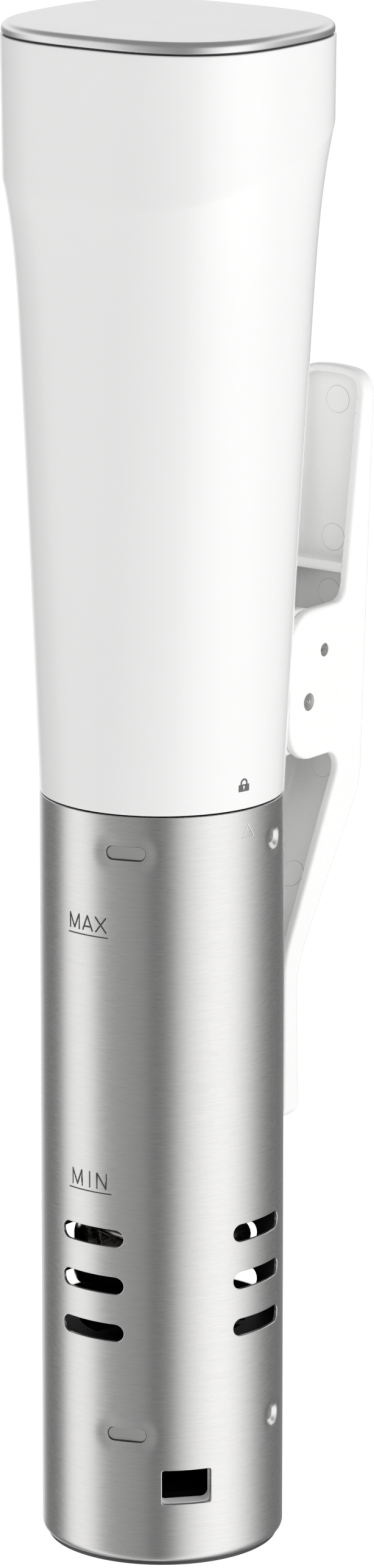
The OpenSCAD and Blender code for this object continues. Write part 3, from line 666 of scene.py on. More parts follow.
# ============================================================ sleeve
SLOTS = [(a, z) for a in (0.0, 90.0, 180.0, 270.0) for z in (54.9, 66.0, 77.1)]
DIMPLES = [(a, z, hl, hh) for a, hl, hh in ((19.0, 4.7, 1.6), (103.0, 2.75, 2.3), (199.0, 4.7, 1.6), (283.0, 2.75, 2.3)) for z in (31.0, 166.5)]
SLOT_HL, SLOT_HH = R * math.sin(math.radians(17.8)), 2.0
WIN = (48.0, 18.9, 11.3 / 2, 4.0, 0.5)
FIL = 0.2


def dang(phi, a):
    return (phi - a + 180.0) % 360.0 - 180.0


def lateral(phi, a):
    """Distance across, as seen square on to angle a; far for the cylinder's other side."""
    d = dang(phi, a)
    y = R * np.sin(np.radians(np.clip(d, -89, 89)))
    return np.where(np.abs(d) > 60, 99.0 * np.sign(d + 1e-9), y)


def sd_obround(y, z, hl, hh):
    return np.hypot(np.maximum(np.abs(y) - (hl - hh), 0), z) - hh


def sd_rbox(y, z, hw, hh, r):
    qy, qz = np.abs(y) - hw + r, np.abs(z) - hh + r
    return np.hypot(np.maximum(qy, 0), np.maximum(qz, 0)) + np.minimum(np.maximum(qy, qz), 0) - r


# engraved strokes: lists of (angle, height above the joint)
STROKES = []


def stroke(pts, w=0.34, depth=0.15):
    STROKES.append((np.array(pts, float), w, depth))


TOP1, BOT1 = -24.05, -27.35
stroke([(-11.6, BOT1), (-11.6, TOP1), (-8.7, BOT1 + 0.12), (-5.85, TOP1), (-5.75, BOT1)])
stroke([(-3.5, BOT1), (-0.85, TOP1), (1.95, BOT1)])
stroke([(-2.65, -26.5), (1.15, -26.5)])
stroke([(3.75, TOP1), (9.4, BOT1)])
stroke([(9.3, TOP1), (3.95, BOT1)])
stroke([(-12.6, -28.5), (10.25, -28.5)], 0.24, 0.12)
TOP2, BOT2 = -83.4, -86.9
stroke([(-10.5, BOT2), (-10.5, TOP2), (-7.45, BOT2 + 0.12), (-4.75, TOP2), (-4.45, BOT2)])
stroke([(0.0, TOP2), (0.0, BOT2)])
stroke([(4.1, BOT2), (4.2, TOP2), (9.0, BOT2 + 0.05), (9.2, TOP2)])
stroke([(-12.7, -87.9), (11.8, -87.9)], 0.24, 0.12)
stroke([(77.1, -6.5), (80.55, -3.66), (84.2, -6.5), (77.1, -6.5)], 0.24, 0.05)
PATCHES = [(-13.9, 11.6, 175.3 - 29.2, 175.3 - 23.4), (-13.9, 13.1, 175.3 - 88.6, 175.3 - 82.75), (76.0, 85.3, 175.3 - 7.1, 175.3 - 3.0)]


def groove(phi, z, share=False):
    """Depth of the engraving; with share, how much of its own full depth a deep stroke has reached."""
    out = np.zeros(np.broadcast(phi, z).shape)
    u, h = np.radians(phi) * R, z - J
    for pts, w, depth in STROKES:
        p = pts.copy()
        p[:, 0] = np.radians(p[:, 0]) * R
        lo, hi = p.min(0) - 0.6, p.max(0) + 0.6
        near = (u > lo[0]) & (u < hi[0]) & (h > lo[1]) & (h < hi[1])
        if not near.any():
            continue
        d = np.full(out.shape, 9.0)
        for a, b in zip(p[:-1], p[1:]):
            e = b - a
            wx, wy = u - a[0], h - a[1]
            t = np.clip((wx * e[0] + wy * e[1]) / (e @ e), 0, 1)
            d = np.minimum(d, np.hypot(wx - e[0] * t, wy - e[1] * t))
        g = 1 - smooth01(w / 2 - 0.08, w / 2 + 0.04, d)
        g = g * (float(depth > 0.1) if share else depth)
        out = np.maximum(out, np.where(near, g, 0.0))
    return out


def press(phi, z):
    """Radius of the outer surface with the pressed dimples: a soft dip, and in it a flat panel with a crisp edge."""
    r = np.full(np.broadcast(phi, z).shape, R)
    for a, zc, hl, hh in DIMPLES:
        y = lateral(phi, a)
        d = sd_obround(y, z - zc, hl, hh)
        soft = R - (0.32 if hl > 3 else 0.2) * np.exp(-(np.maximum(d, 0) / (1.8 if hl > 3 else 1.2)) ** 2)
        flat = (R - (1.05 if hl > 3 else 1.25)) / np.cos(np.radians(np.clip(dang(phi, a), -30, 30)))
        s = smooth01(0.08, -0.10, d) if hl > 3 else smooth01(0.45, -1.15, d)
        r = np.where(d < 7, np.minimum(r, soft * (1 - s) + flat * s), r)
    return r


def outer(phi, z):
    r = press(phi, z) - groove(phi, z)
    for a, zc in SLOTS:
        d = sd_obround(lateral(phi, a), z - zc, SLOT_HL, SLOT_HH)
        dd = np.clip(d, 0, FIL)
        r = r - np.where(d < FIL, FIL - np.sqrt(np.maximum(FIL ** 2 - (FIL - dd) ** 2, 0)), 0) - np.where(d < 0, -d * 6, 0)
    d = sd_rbox(lateral(phi, WIN[0]), z - WIN[1], WIN[2], WIN[3], WIN[4])
    dd = np.clip(d, 0, FIL)
    r = r - np.where(d < FIL, FIL - np.sqrt(np.maximum(FIL ** 2 - (FIL - dd) ** 2, 0)), 0) - np.where(d < 0, -d * 6, 0)
    return r


def hole_sd(phi, z):
    d = np.full(np.broadcast(phi, z).shape, 99.0)
    for a, zc in SLOTS:
        d = np.minimum(d, sd_obround(lateral(phi, a), z - zc, SLOT_HL, SLOT_HH))
    return np.minimum(d, sd_rbox(lateral(phi, WIN[0]), z - WIN[1], WIN[2], WIN[3], WIN[4]))


def inner(phi, z):
    d = hole_sd(phi, z)
    return press(phi, z) - 0.8 + 0.12 * (1 - smooth01(0.0, 0.12, d))


def obround_loop(hl, hh, d, ns=14, na=14):
    """Points of an obround's outline, offset by d, counter-clockwise."""
    r = hh + d
    s = hl - hh
    if r <= 0.02:
        return [(x, 0.0) for x in np.linspace(-s, s, ns)]
    out = [(x, -r) for x in np.linspace(-s, s, ns, endpoint=False)]
    out += [(s + r * math.cos(a), r * math.sin(a)) for a in np.linspace(-math.pi / 2, math.pi / 2, na, endpoint=False)]
    out += [(x, r) for x in np.linspace(s, -s, ns, endpoint=False)]
    out += [(-s + r * math.cos(a), r * math.sin(a)) for a in np.linspace(math.pi / 2, 1.5 * math.pi, na, endpoint=False)]
    return out


def rbox_loop(hw, hh, r, d, ns=12, na=8):
    out = []
    rr = max(r + d, 0.05)
    cx, cz = hw - r, hh - r
    for (sx, sz, a0) in ((1, -1, -90), (1, 1, 0), (-1, 1, 90), (-1, -1, 180)):
        out += [(sx * cx + rr * math.cos(math.radians(a0 + 90 * i / na)), sz * cz + rr * math.sin(math.radians(a0 + 90 * i / na))) for i in range(na + 1)]
    full = []
    for i in range(len(out)):
        p, q = np.array(out[i]), np.array(out[(i + 1) % len(out)])
        k = max(1, int(np.linalg.norm(q - p) / 0.7))
        for s in range(k):
            full.append(tuple(p + (q - p) * s / k))
    return full


def sleeve_mesh():
    seam = -38.0
    ncol = 180
    zb, zt = 2.9, 174.85
    pts, edges = [], []
    W = 2 * math.pi * R

    def u_of(phi):
        return (np.asarray(phi, float) - seam) % 360.0 / 360.0 * W

    def add(points, closed=False):
        base = len(pts)
        pts.extend(points)
        if closed:
            n = len(points)
            edges.extend((base + i, base + (i + 1) % n) for i in range(n))
        return base

    us = np.linspace(0, W, ncol + 1)
    rows = np.concatenate([[zb], np.arange(zb + 1.9, zt - 1.0, 2.15), [zt]])
    gu, gz = np.meshgrid(us, rows)
    gu, gz = gu.ravel(), gz.ravel()
    phi = gu / W * 360 + seam
    keep = np.ones(len(gu), bool)
    keep &= ~(hole_sd(phi, gz) < 1.25)
    for a, zc, hl, hh in DIMPLES:
        keep &= ~(sd_obround(lateral(phi, a), gz - zc, hl, hh) < 4.6)
    for a0, a1, z0, z1 in PATCHES:
        p = (phi + 180) % 360 - 180
        keep &= ~((p > a0 - 1.2) & (p < a1 + 1.2) & (gz > z0 - 0.7) & (gz < z1 + 0.7))
    edge = (np.abs(gz - zb) < 1e-6) | (np.abs(gz - zt) < 1e-6)
    keep |= edge
    pts.extend(zip(gu[keep].tolist(), gz[keep].tolist()))

    def ring(a, zc, loop, closed):
        q = [(float(u_of(a + math.degrees(math.asin(max(-1, min(1, y / R)))))), zc + z) for y, z in loop]
        add(q, closed)

    for a, zc in SLOTS:
        for d in (0.0, 0.03, 0.08, 0.14, FIL, 0.4, 0.8):
            ring(a, zc, obround_loop(SLOT_HL, SLOT_HH, d, 20, 14), d == 0.0)
    for d in (0.0, 0.03, 0.08, 0.14, FIL, 0.4, 0.8):
        ring(WIN[0], WIN[1], rbox_loop(WIN[2], WIN[3], WIN[4], d), d == 0.0)
    for a, zc, hl, hh in DIMPLES:
        for d in ((-1.6, -1.1, -0.6, -0.3, -0.16, -0.10, -0.055, -0.01, 0.035, 0.08, 0.16, 0.4, 0.8, 1.25, 1.8, 2.4, 3.1, 3.9) if hl > 3
                  else (-2.0, -1.6, -1.3, -1.1, -0.9, -0.7, -0.5, -0.3, -0.1, 0.1, 0.28, 0.45, 0.7, 1.1, 1.6, 2.2, 3.0, 3.9)):
            ring(a, zc, obround_loop(hl, hh, d, 18 if hl > 3 else 5, 18 + int(max(0, d) * 2)), False)
    fine = []
    for a0, a1, z0, z1 in PATCHES:
        u0, u1 = float(u_of(a0)), float(u_of(a1))
        nu, nz = int((u1 - u0) / 0.093), int((z1 - z0) / 0.093)
        uu, zz = np.linspace(u0, u1, nu + 1), np.linspace(z0, z1, nz + 1)
        border = [(x, z0) for x in uu[:-1]] + [(u1, z) for z in zz[:-1]] + [(x, z1) for x in uu[:0:-1]] + [(u0, z) for z in zz[:0:-1]]
        add([(float(x), float(z)) for x, z in border], True)
        fine.append((uu, zz))
    out = geometry.delaunay_2d_cdt([Vector(p) for p in pts], edges, [], 0, 1e-6, False)
    P = np.array([(p.x, p.y) for p in out[0]])
    T = np.array([list(t) for t in out[2]])
    cen = P[T].mean(1)
    cphi = cen[:, 0] / W * 360 + seam
    bad = hole_sd(cphi, cen[:, 1]) < -0.004
    for (uu, zz) in fine:
        bad |= (cen[:, 0] > uu[0]) & (cen[:, 0] < uu[-1]) & (cen[:, 1] > zz[0]) & (cen[:, 1] < zz[-1])
    area = np.abs(np.cross(P[T[:, 1]] - P[T[:, 0]], P[T[:, 2]] - P[T[:, 0]]))
    T = T[~bad & (area > 1e-9)]
    polys = [t.tolist() for t in T]
    allp = [P]
    base = len(P)
    for (uu, zz) in fine:
        g = np.stack(np.meshgrid(uu, zz), -1).reshape(-1, 2)
        n = len(uu)
        j, i = np.meshgrid(np.arange(len(zz) - 1), np.arange(n - 1), indexing="ij")
        a = (base + j * n + i).ravel()
        polys += np.stack([a, a + 1, a + 1 + n, a + n], 1).tolist()
        allp.append(g)
        base += len(g)
    P = np.concatenate(allp)
    # weld the seam and the patch borders
    key = np.round(np.stack([P[:, 0] % W, P[:, 1]], 1), 4)
    key[np.abs(key[:, 0] - round(W, 4)) < 2e-4, 0] = 0.0
    _, first, inv = np.unique(key, axis=0, return_index=True, return_inverse=True)
    inv = inv.ravel()
    P = key[first]
    polys = [[int(inv[k]) for k in f] for f in polys]
    polys = [f for f in polys if len(set(f)) == len(f)]
    used = np.unique(np.concatenate([np.array(f) for f in polys]))
    remap = np.full(len(P), -1)
    remap[used] = np.arange(len(used))
    P = P[used]
    polys = [[int(remap[k]) for k in f] for f in polys]
    n = len(P)
    phi, z = P[:, 0] / W * 360 + seam, P[:, 1]

    def place(fn, sign):
        r = fn(phi, z)
        e = 0.015
        da = math.degrees(e / R)
        rp = (fn(phi + da, z) - fn(phi - da, z)) / (2 * e)
        rz = (fn(phi, z + e) - fn(phi, z - e)) / (2 * e)
        c, s = np.cos(np.radians(phi)), np.sin(np.radians(phi))
        er = np.stack([s, -c, 0 * c], 1)
        et = np.stack([c, s, 0 * c], 1)
        ez = np.array([0, 0, 1.0])
        nn = sign * (er - rp[:, None] * et - rz[:, None] * ez)
        return np.stack([r * s, -r * c, z], 1), nn

    vo, no = place(outer, 1)
    vi, ni = place(inner, -1)
    verts, norms = [vo, vi], [no, ni]
    faces = polys + [[k + n for k in f[::-1]] for f in polys]
    # walls of the holes
    cnt = {}
    for f in polys:
        for a, b in zip(f, f[1:] + f[:1]):
            cnt[(a, b)] = cnt.get((a, b), 0) + 1
    rim = [(a, b) for (a, b) in cnt if (b, a) not in cnt]
    walls = [(a, b) for a, b in rim if not ((abs(z[a] - zb) < 1e-4 and abs(z[b] - zb) < 1e-4)
                                           or (abs(z[a] - zt) < 1e-4 and abs(z[b] - zt) < 1e-4))]
    inner_from = len(polys)
    n_faces_in = 2 * len(polys)
    for a, b in walls:
        faces.append([b, a, a + n, b + n])
    # rolled lower edge and rounded upper edge
    low = np.where(np.abs(z - zb) < 1e-4)[0]
    low = low[np.argsort((phi[low] + 1e-6) % 360)]
    top = np.where(np.abs(z - zt) < 1e-4)[0]
    top = top[np.argsort((phi[top] + 1e-6) % 360)]
    base = 2 * n

    def strip(first_idx, last_idx, prof, flip):
        nonlocal base
        ph = np.radians(phi[first_idx])
        ids = [first_idx]
        for (r, zz, nr, nz) in prof:
            verts.append(np.stack([r * np.sin(ph), -r * np.cos(ph), np.full(len(ph), zz)], 1))
            norms.append(np.stack([nr * np.sin(ph), -nr * np.cos(ph), np.full(len(ph), nz)], 1))
            ids.append(np.arange(base, base + len(ph)))
            base += len(ph)
        ids.append(last_idx)
        for a, b in zip(ids[:-1], ids[1:]):
            m = len(a)
            for i in range(m):
                j = (i + 1) % m
                q = [int(a[i]), int(a[j]), int(b[j]), int(b[i])]
                faces.append(q[::-1] if flip else q)

    deg = lambda k: math.radians(k)
    prof = [(R - 2.2 + 2.2 * math.cos(deg(-a)), 2.9 + 2.2 * math.sin(deg(-a)), math.cos(deg(-a)), math.sin(deg(-a))) for a in (8, 18, 28, 38, 48, 57, 60)]
    prof += [(R - 2.2 + 1.8 * math.cos(deg(-62)), 2.9 + 1.8 * math.sin(deg(-62)), -0.6, -0.8)]
    prof += [(R - 2.2 + 1.4 * math.cos(deg(-a)), 2.9 + 1.4 * math.sin(deg(-a)), -math.cos(deg(-a)), -math.sin(deg(-a))) for a in (58, 45, 30, 15)]
    strip(low, low + n, prof, True)
    prof = [(R - 0.15 + 0.15 * math.cos(deg(a)), zt + 0.15 * math.sin(deg(a)), math.cos(deg(a)), math.sin(deg(a))) for a in (25, 50, 75, 90)]
    prof += [(RI + 0.12, 175.0, 0, 1), (RI, 174.93, -0.9, 0.5)]
    strip(top, top + n, prof, False)
    return np.concatenate(verts), faces, np.concatenate(norms), inner_from, n_faces_in, walls, n


def sleeve_piece():
    v, f, nn, n_in, n_wall, walls, len_outer = sleeve_mesh()
    k_wall = len(walls)
    me = mesh_from("sleeve_tube", v, f)
    # normals by face corner: those of the surfaces, and on the walls of the openings square to the wall
    tot = len(me.loops)
    vi = np.empty(tot, int)
    me.loops.foreach_get("vertex_index", vi)
    ln = nn[vi]
    start = np.empty(len(me.polygons), int)
    me.polygons.foreach_get("loop_start", start)
    first = start[n_wall]
    last = start[n_wall + k_wall - 1] + 4
    wv = vi[first:last]
    wall_n = {}
    for a, b in walls:
        pa, pb = v[a], v[b]
        d = pb - pa
        up = v[b + len_outer] - v[b]
        w = np.cross(up, d)
        w /= max(np.linalg.norm(w), 1e-12)
        for k in (a, b):
            wall_n[k] = wall_n.get(k, 0) + w
            wall_n[k + len_outer] = wall_n.get(k + len_outer, 0) + w
    ln[first:last] = [wall_n[int(k)] for k in wv]
    ln = ln / np.maximum(np.linalg.norm(ln, axis=1), 1e-12)[:, None]
    me.normals_split_custom_set(ln.tolist())
    ob = piece("sleeve_tube", me, "sleeve_unit", STEEL, "brushed_stainless", "sleeve")
    me.materials.append(STEEL_IN_PAINTED_SHADE)
    idx = np.zeros(len(me.polygons), int)
    # the tube's inner face takes the near-black steel: painted shade inside the sleeve
    idx[n_in:n_wall] = 1
    # the engraving's walls and grooves are coloured dark steel: painted shade in the grooves
    me.materials.append(STEEL_GROOVE_SHADE)
    cen = np.array([nn_v.mean(0) for nn_v in (v[q] for q in f[:n_in])])
    g = groove(np.degrees(np.arctan2(cen[:, 0], -cen[:, 1])), cen[:, 2], True)
    idx[:n_in][g > 0.2] = 2
    # the crisp rim of the two long pressings gets the same dark steel: painted shade along the pressed edge
    ang = np.degrees(np.arctan2(cen[:, 0], -cen[:, 1]))
    for a, zc, hl, hh in DIMPLES:
        if hl > 3:
            d = sd_obround(lateral(ang, a), cen[:, 2] - zc, hl, hh)
            idx[:n_in][(np.abs(dang(ang, a)) < 60) & (d > -0.2) & (d < 0.03)] = 2
    me.polygons.foreach_set("material_index", idx)
    return ob


sleeve_ob = sleeve_piece()

# base of the sleeve
prof = arc((25.9, 0.3), 0.3, -90, 0, 4) + [(26.2, 1.0), (25.78, 1.02), (25.75, 3.1), (26.55, 3.15), (26.6, 3.3), (26.55, 3.55), (26.3, 3.6), (0.6, 3.6)]
low = [(0.6, 0.55), (15.5, 0.55), (15.9, 0.5), (16.0, 0.12), (16.3, 0.0)]
v, f = lathe(low + prof, 128)
piece("base_plate", mesh_from("base_plate", v, f, sharp=35), "sleeve_unit", BASE, "black_plastic", "base_cap")


# ============================================================ pot clip
HW, WALL = 9.9, 1.8
SIDE = rounded([(69.1, J + 86.9, 2), (64.1, J - 10, 14), (39.2, J - 49, 20), (39.9, J - 84.3, 2.6), (33.9, J - 84.3, 1.6),
                (34.2, J - 46.5, 20), (56.9, J - 0.7, 3.6), (35.7, J - 0.7, 8.4), (35.7, J + 34.2, 9), (57.4, J + 34.2, 3.8),
                (65, J + 86.9, 0.8)], 8)
CAV = rounded([(69.1 - WALL, J + 85.1, 1.5), (64.1 - WALL, J - 9.4, 12.5), (39.2 - WALL, J - 48.4, 20), (39.9 - WALL, J - 82.7, 1.5),
               (28, J - 82.7, 0), (28, J + 85.1, 0)], 8)


def front_outline(d):
    return rounded([(-HW + d, J - 84.4 + d, 3 - d), (HW - d, J - 84.4 + d, 3 - d), (HW - d, J + 85.6 - d, 6 - d), (0, J + 87.2 - d, 16),
                    (-HW + d, J + 85.6 - d, 6 - d)], 8)


FRONT, FRONT_IN = front_outline(0.0), front_outline(WALL - 0.2)


def f_lever(x, y, z):
    side = sd_poly(y, z, SIDE)
    front = sd_poly(x, z, FRONT)
    a = f_and(side, front, 0.85)
    c = f_and(sd_poly(y, z, CAV), sd_poly(x, z, FRONT_IN), 1.2)
    c = f_and(c, np.abs(x) - (HW - WALL), 1.2)
    body = f_and(a, -c, 0.18)
    rib = f_box(x, y, z, (0, 62.3, J + 41.1), (8.9, 3.6, 1.2), 0.35)
    body = f_or(body, np.maximum(rib, side + 0.4), 0.35)
    seat = f_box(x, y, z, (0, 36.3, J - 69), (5, 2.3, 11), 0.2)
    return f_or(body, seat, 0.2)


def pin_cutter(r, y, z):
    v, f = lathe([(r, -14), (r, 14)], 40)
    v = along_x(v)
    return v + np.array([0, y, z]), f


p, f, g = nets(f_lever, (-HW, 33.5, J - 84.4), (HW, 69.4, J + 87.2), 0.5)
me = mesh_from("clip_arm", p, f)
me = bool_cut(me, [pin_cutter(2.06, 43.0, 188.2), pin_cutter(1.56, 49.1, 199.3)], "clip_arm")
me.shade_smooth()
me.set_sharp_from_angle(angle=math.radians(38))
piece("clip_arm", me, "lever", WHITE_TRAY, "white_plastic", "clip_lever")


# round marks on the tray's floor
def floor_y(z):
    fl = CAV[CAV[:, 0] > 31]
    fl = fl[np.argsort(fl[:, 1])]
    return np.interp(z, fl[:, 1], fl[:, 0])


verts, faces = [], []
for (x0, zr) in ((0.8, 78.4), (0.8, 46.4), (0.3, 33.5), (0.2, -6.6), (0.9, -30.1)):
    z0 = J + zr
    base = len(verts)
    rr = [(0.0, 0.07), (1.5, 0.07), (2.8, 0.07), (3.08, 0.07), (3.12, 0.055), (3.22, -0.01), (3.24, -0.1)]
    m = 56
    slope = (floor_y(z0 + 1) - floor_y(z0 - 1)) / 2
    k = 1 / math.sqrt(1 + slope * slope)
    for r_, up in rr:
        for i in range(m):
            a = 2 * math.pi * i / m
            zz = z0 + r_ * math.sin(a) * k
            verts.append((x0 + max(r_, 0.01) * math.cos(a), floor_y(zz) - up, zz + up * slope * k))
    for j in range(len(rr) - 1):
        for i in range(m):
            a, b = base + j * m + i, base + j * m + (i + 1) % m
            faces.append([a, b, b + m, a + m])
    faces.append([base + i for i in range(m)][::-1])
    faces.append([base + (len(rr) - 1) * m + i for i in range(m)])
me = mesh_from("ejector_marks", verts, faces, sharp=30)
piece("ejector_marks", me, "lever", WHITE_TRAY, "white_plastic")
me.materials.append(RING_SHADE)
# the outer edge ring of each mark takes the grey: painted shade line round the mark
for q in me.polygons:
    if len(q.vertices) == 4:
        q.material_index = int((min(q.vertices) % (7 * 56)) // 56 >= 3)


# ------------------------------------------------------------ jaw pad
PAD_O = rounded([(29.6, J - 79.6, 1.6), (34, J - 81.5, 0.5), (34, J - 56.5, 0.5), (29.6, J - 58.4, 1.6)], 6)


def f_pad(x, y, z):
    d = f_and(sd_poly(y, z, PAD_O), np.abs(x) - 6.2, 0.7)
    for i in range(5):
        d = f_and(d, -f_box(x, y, z, (0, 29.4, J - 76.8 + 4 * i), (9, 0.8, 0.4), 0.15), 0.15)
    return d


p, f, g = nets(f_pad, (-6.2, 29.6, J - 81.6), (6.2, 34, J - 56.4), 0.25)
piece("jaw_face", mesh_from("jaw_face", p, f, normals=g), "lever", PAD, "grey_rubber", "jaw_pad")

# ------------------------------------------------------------ bracket
BRO = rounded([(24, J + 0.9, 0), (54, J + 0.9, 13), (54, J + 34.3, 11), (24, J + 34.3, 0)], 10)
PR, PA = math.hypot(6.1, 11.1), math.degrees(math.atan2(11.1, 6.1))


def f_bracket(x, y, z):
    d = f_and(sd_poly(y, z, BRO), np.abs(x) - 7.7, 0.7)
    hr = 27.46 + 1.4 * (z - J) / 40
    d = f_and(d, -(np.hypot(x, y - 0.15) - hr), 0.15)
    room = np.maximum(34 - y, np.abs(x) - 5.1)
    lug = f_box(x, y, z, (-4.9, 34.0, 188.2 + 2.275), (2.7, 2.0, 1.075), 0.15)
    d = f_and(d, -np.maximum(room, -lug), 0.25)
    d = f_and(d, -(np.hypot(y - 43.0, z - 188.2) - 2.05), 0.1)
    rad = np.hypot(y - 43.0, z - 188.2)
    a = np.degrees(np.arctan2(z - 188.2, y - 43.0)) - (PA + 9)
    span = 10.2
    over = np.radians(np.maximum(np.abs(a) - span, 0)) * rad
    slot = np.hypot(rad - PR, over) - 1.85
    return f_and(d, -slot, 0.1)


p, f, g = nets(f_bracket, (-7.7, 24, J + 0.8), (7.7, 54, J + 34.4), 0.4)
piece("clip_mount", mesh_from("clip_mount", p, f, normals=g), "body", WHITE_TRAY, "white_plastic", "clip_bracket")


# ------------------------------------------------------------ pins
def pin(r, half, rings):
    end = [(0.02, half - 0.42), (0.32, half - 0.3), (0.36, half - 0.12)] if rings else [(0.02, half - 0.03)]
    if rings:
        k = 0.5
        while k < r - 0.35:
            end += [(k, half - 0.04), (k + 0.14, half - 0.065), (k + 0.2, half - 0.05)]
            k += 0.26
    else:
        k = 0.3
        while k < r - 0.3:
            end += [(k, half - 0.04 - 0.03 * ((k * 7.3) % 1))]
            k += 0.22
    end += [(r - 0.18, half - 0.0), (r - 0.06, half - 0.05), (r, half - 0.18)]
    prof = [(a, -b) for a, b in end] + [(a, b) for a, b in end[::-1]]
    return lathe(prof, 56)


v, f = pin(1.97, HW - 0.1, True)
piece("pivot_rod", mesh_from("pivot_rod", along_x(v) + np.array([0, 43.0, 188.2]), f, sharp=40), "lever", TURNED, "turned_steel", "pivot_pin")
v, f = pin(1.48, HW - 0.12, False)
piece("spring_rod", mesh_from("spring_rod", along_x(v) + np.array([0, 49.1, 199.3]), f, sharp=40), "lever", MOTTLED, "turned_steel", "spring_pin")

# ------------------------------------------------------------ torsion spring
rm, wr, turn, x0, dx = 4.0, 0.58, 1747.0, -3.6, 7.2
k = np.linspace(0, 1, 420)
a = np.radians(90 - turn * k)
coil = np.stack([x0 + dx * k, 43 + rm * np.cos(a), 188.2 + rm * np.sin(a)], 1)
coil_n = np.stack([0 * a, np.cos(a), np.sin(a)], 1)
s = np.linspace(1, 0.03, 12)
leg0 = np.stack([np.full(12, x0), 43 - 8.6 * s, np.full(12, 188.2 + rm)], 1)
tip, e = coil[-1], math.radians(53)
s1 = np.linspace(0.03, 1, 16)
leg1 = tip + 14.4 * s1[:, None] * np.array([0, math.cos(e), math.sin(e)])
path = np.concatenate([leg0, coil, leg1])
nrm = np.concatenate([np.tile([0, 0, 1.0], (12, 1)), coil_n, np.tile([0, -math.sin(e), math.cos(e)], (16, 1))])
v, f = sweep(path, nrm, wr, 14)
spring_ob = piece("clip_spring", mesh_from("clip_spring", v, f, sharp=50), None, SPRING, "spring_steel", "torsion_spring")
# the coil winds up between the leg that rests on the head and the leg that pushes the lever
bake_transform(spring_ob)

# ============================================================ heater coil
slope = 9.6
moves = [(7.97, (90 - slope) / 12 if i == 6 else 0) for i in range(1, 7)]
moves += [(2.1, (90 - slope) / 12 if i == 6 else (90 - slope) / 6) for i in range(1, 7)]
moves += [(7.037, 0)] * 54 + [(1.56, 20)] * 9 + [(6.9833, 0)] * 50 + [(2.1, -(90 - slope) / 6)] * 6 + [(7.5724, 0)] * 6
q, g0 = [(0.0, 182.0)], -90.0
for st, tu in moves:
    x_, z_ = q[-1]
    q.append((x_ + st * math.cos(math.radians(g0)), z_ + st * math.sin(math.radians(g0))))
    g0 += tu
q = catmull(q, 4)
a = q[:, 0] / 17.0
path = np.stack([17 * np.cos(a), 17 * np.sin(a), q[:, 1]], 1)
nrm = np.stack([np.cos(a), np.sin(a), 0 * a], 1)
v, f = sweep(path, nrm, 3.18, 22)
piece("heater_tube", mesh_from("heater_tube", v, f, sharp=50), "body", HEATER, "heater_steel", "heater_coil")

# ============================================================ finishes of the CAD nodes that stay
FINISH = {
    # the outlet nozzle takes the lighter white: painted light on its ledge
    "outlet_nozzle": WHITE_LIP_PAINTED_LIGHT,
    "display_window": GLASS, "display_board": PCB, "display_module": SCREEN, "power_board": PCB, "power_components": PARTS,
    "chassis": DARK, "chassis_screws": SCREW, "motor": MOTOR, "motor_screws": SCREW, "motor_shaft": SHAFT, "cooling_fan": BLACK,
    # the shaft tube takes the near-black inside steel: painted shade inside the sleeve
    "shaft_coupling": MOTOR, "drive_shaft": SHAFT, "impeller": IMPELLER, "shaft_seal": SEAL, "shaft_tube": STEEL_IN_PAINTED_SHADE,
    "shaft_bush": BRASS, "bayonet_collar": BLACK, "collar_screws": SCREW, "housing_seal": RUBBER, "heater_terminals": BRASS,
    "temperature_probe": SHAFT, "level_electrodes": SHAFT, "pump_housing": BLACK, "bracket_screws": SCREW,
}
for name, m in FINISH.items():
    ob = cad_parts[name]
    if not ob.material_slots:
        ob.data.materials.append(m)
    for s in ob.material_slots:
        s.material = m

# ============================================================ studio
AZ = 36.4


def emission_diffuse(name, colour, albedo, glow):
    m = bpy.data.materials.new(name)
    m.use_nodes = True
    nt = m.node_tree
    nt.nodes.clear()
    out = nt.nodes.new("ShaderNodeOutputMaterial")
    add = nt.nodes.new("ShaderNodeAddShader")
    em = nt.nodes.new("ShaderNodeEmission")
    em.inputs["Color"].default_value = (*colour, 1)
    em.inputs["Strength"].default_value = glow
    df = nt.nodes.new("ShaderNodeBsdfDiffuse")
    df.inputs["Color"].default_value = (albedo, albedo, albedo, 1)
    nt.links.new(em.outputs[0], add.inputs[0])
    nt.links.new(df.outputs[0], add.inputs[1])
    nt.links.new(add.outputs[0], out.inputs["Surface"])
    return m


v, f = lathe([(0.001, -0.05), (500, -0.05), (2000, -0.05), (9000, -0.05)], 96, caps=False)
floor = bpy.data.objects.new("floor", mesh_from("floor", v, [x[::-1] for x in f]))
scene.collection.objects.link(floor)
floor.data.materials.append(emission_diffuse("floor_white", (1, 1, 1), 0.55, 0.86))
floor.visible_glossy = False
# a pale dome closes the view above the floor; only the camera sees it
rings = [(9000 * math.cos(a), 9000 * math.sin(a)) for a in np.radians(np.linspace(0, 88, 24))]
v, f = lathe(rings, 64, caps=False)
dome = bpy.data.objects.new("backdrop", mesh_from("backdrop", v, f))
scene.collection.objects.link(dome)
dome.data.materials.append(emission_diffuse("backdrop_white", (1, 1, 1), 0.0, 1.0))
for k in ("visible_diffuse", "visible_glossy", "visible_transmission", "visible_volume_scatter", "visible_shadow"):
    setattr(dome, k, False)

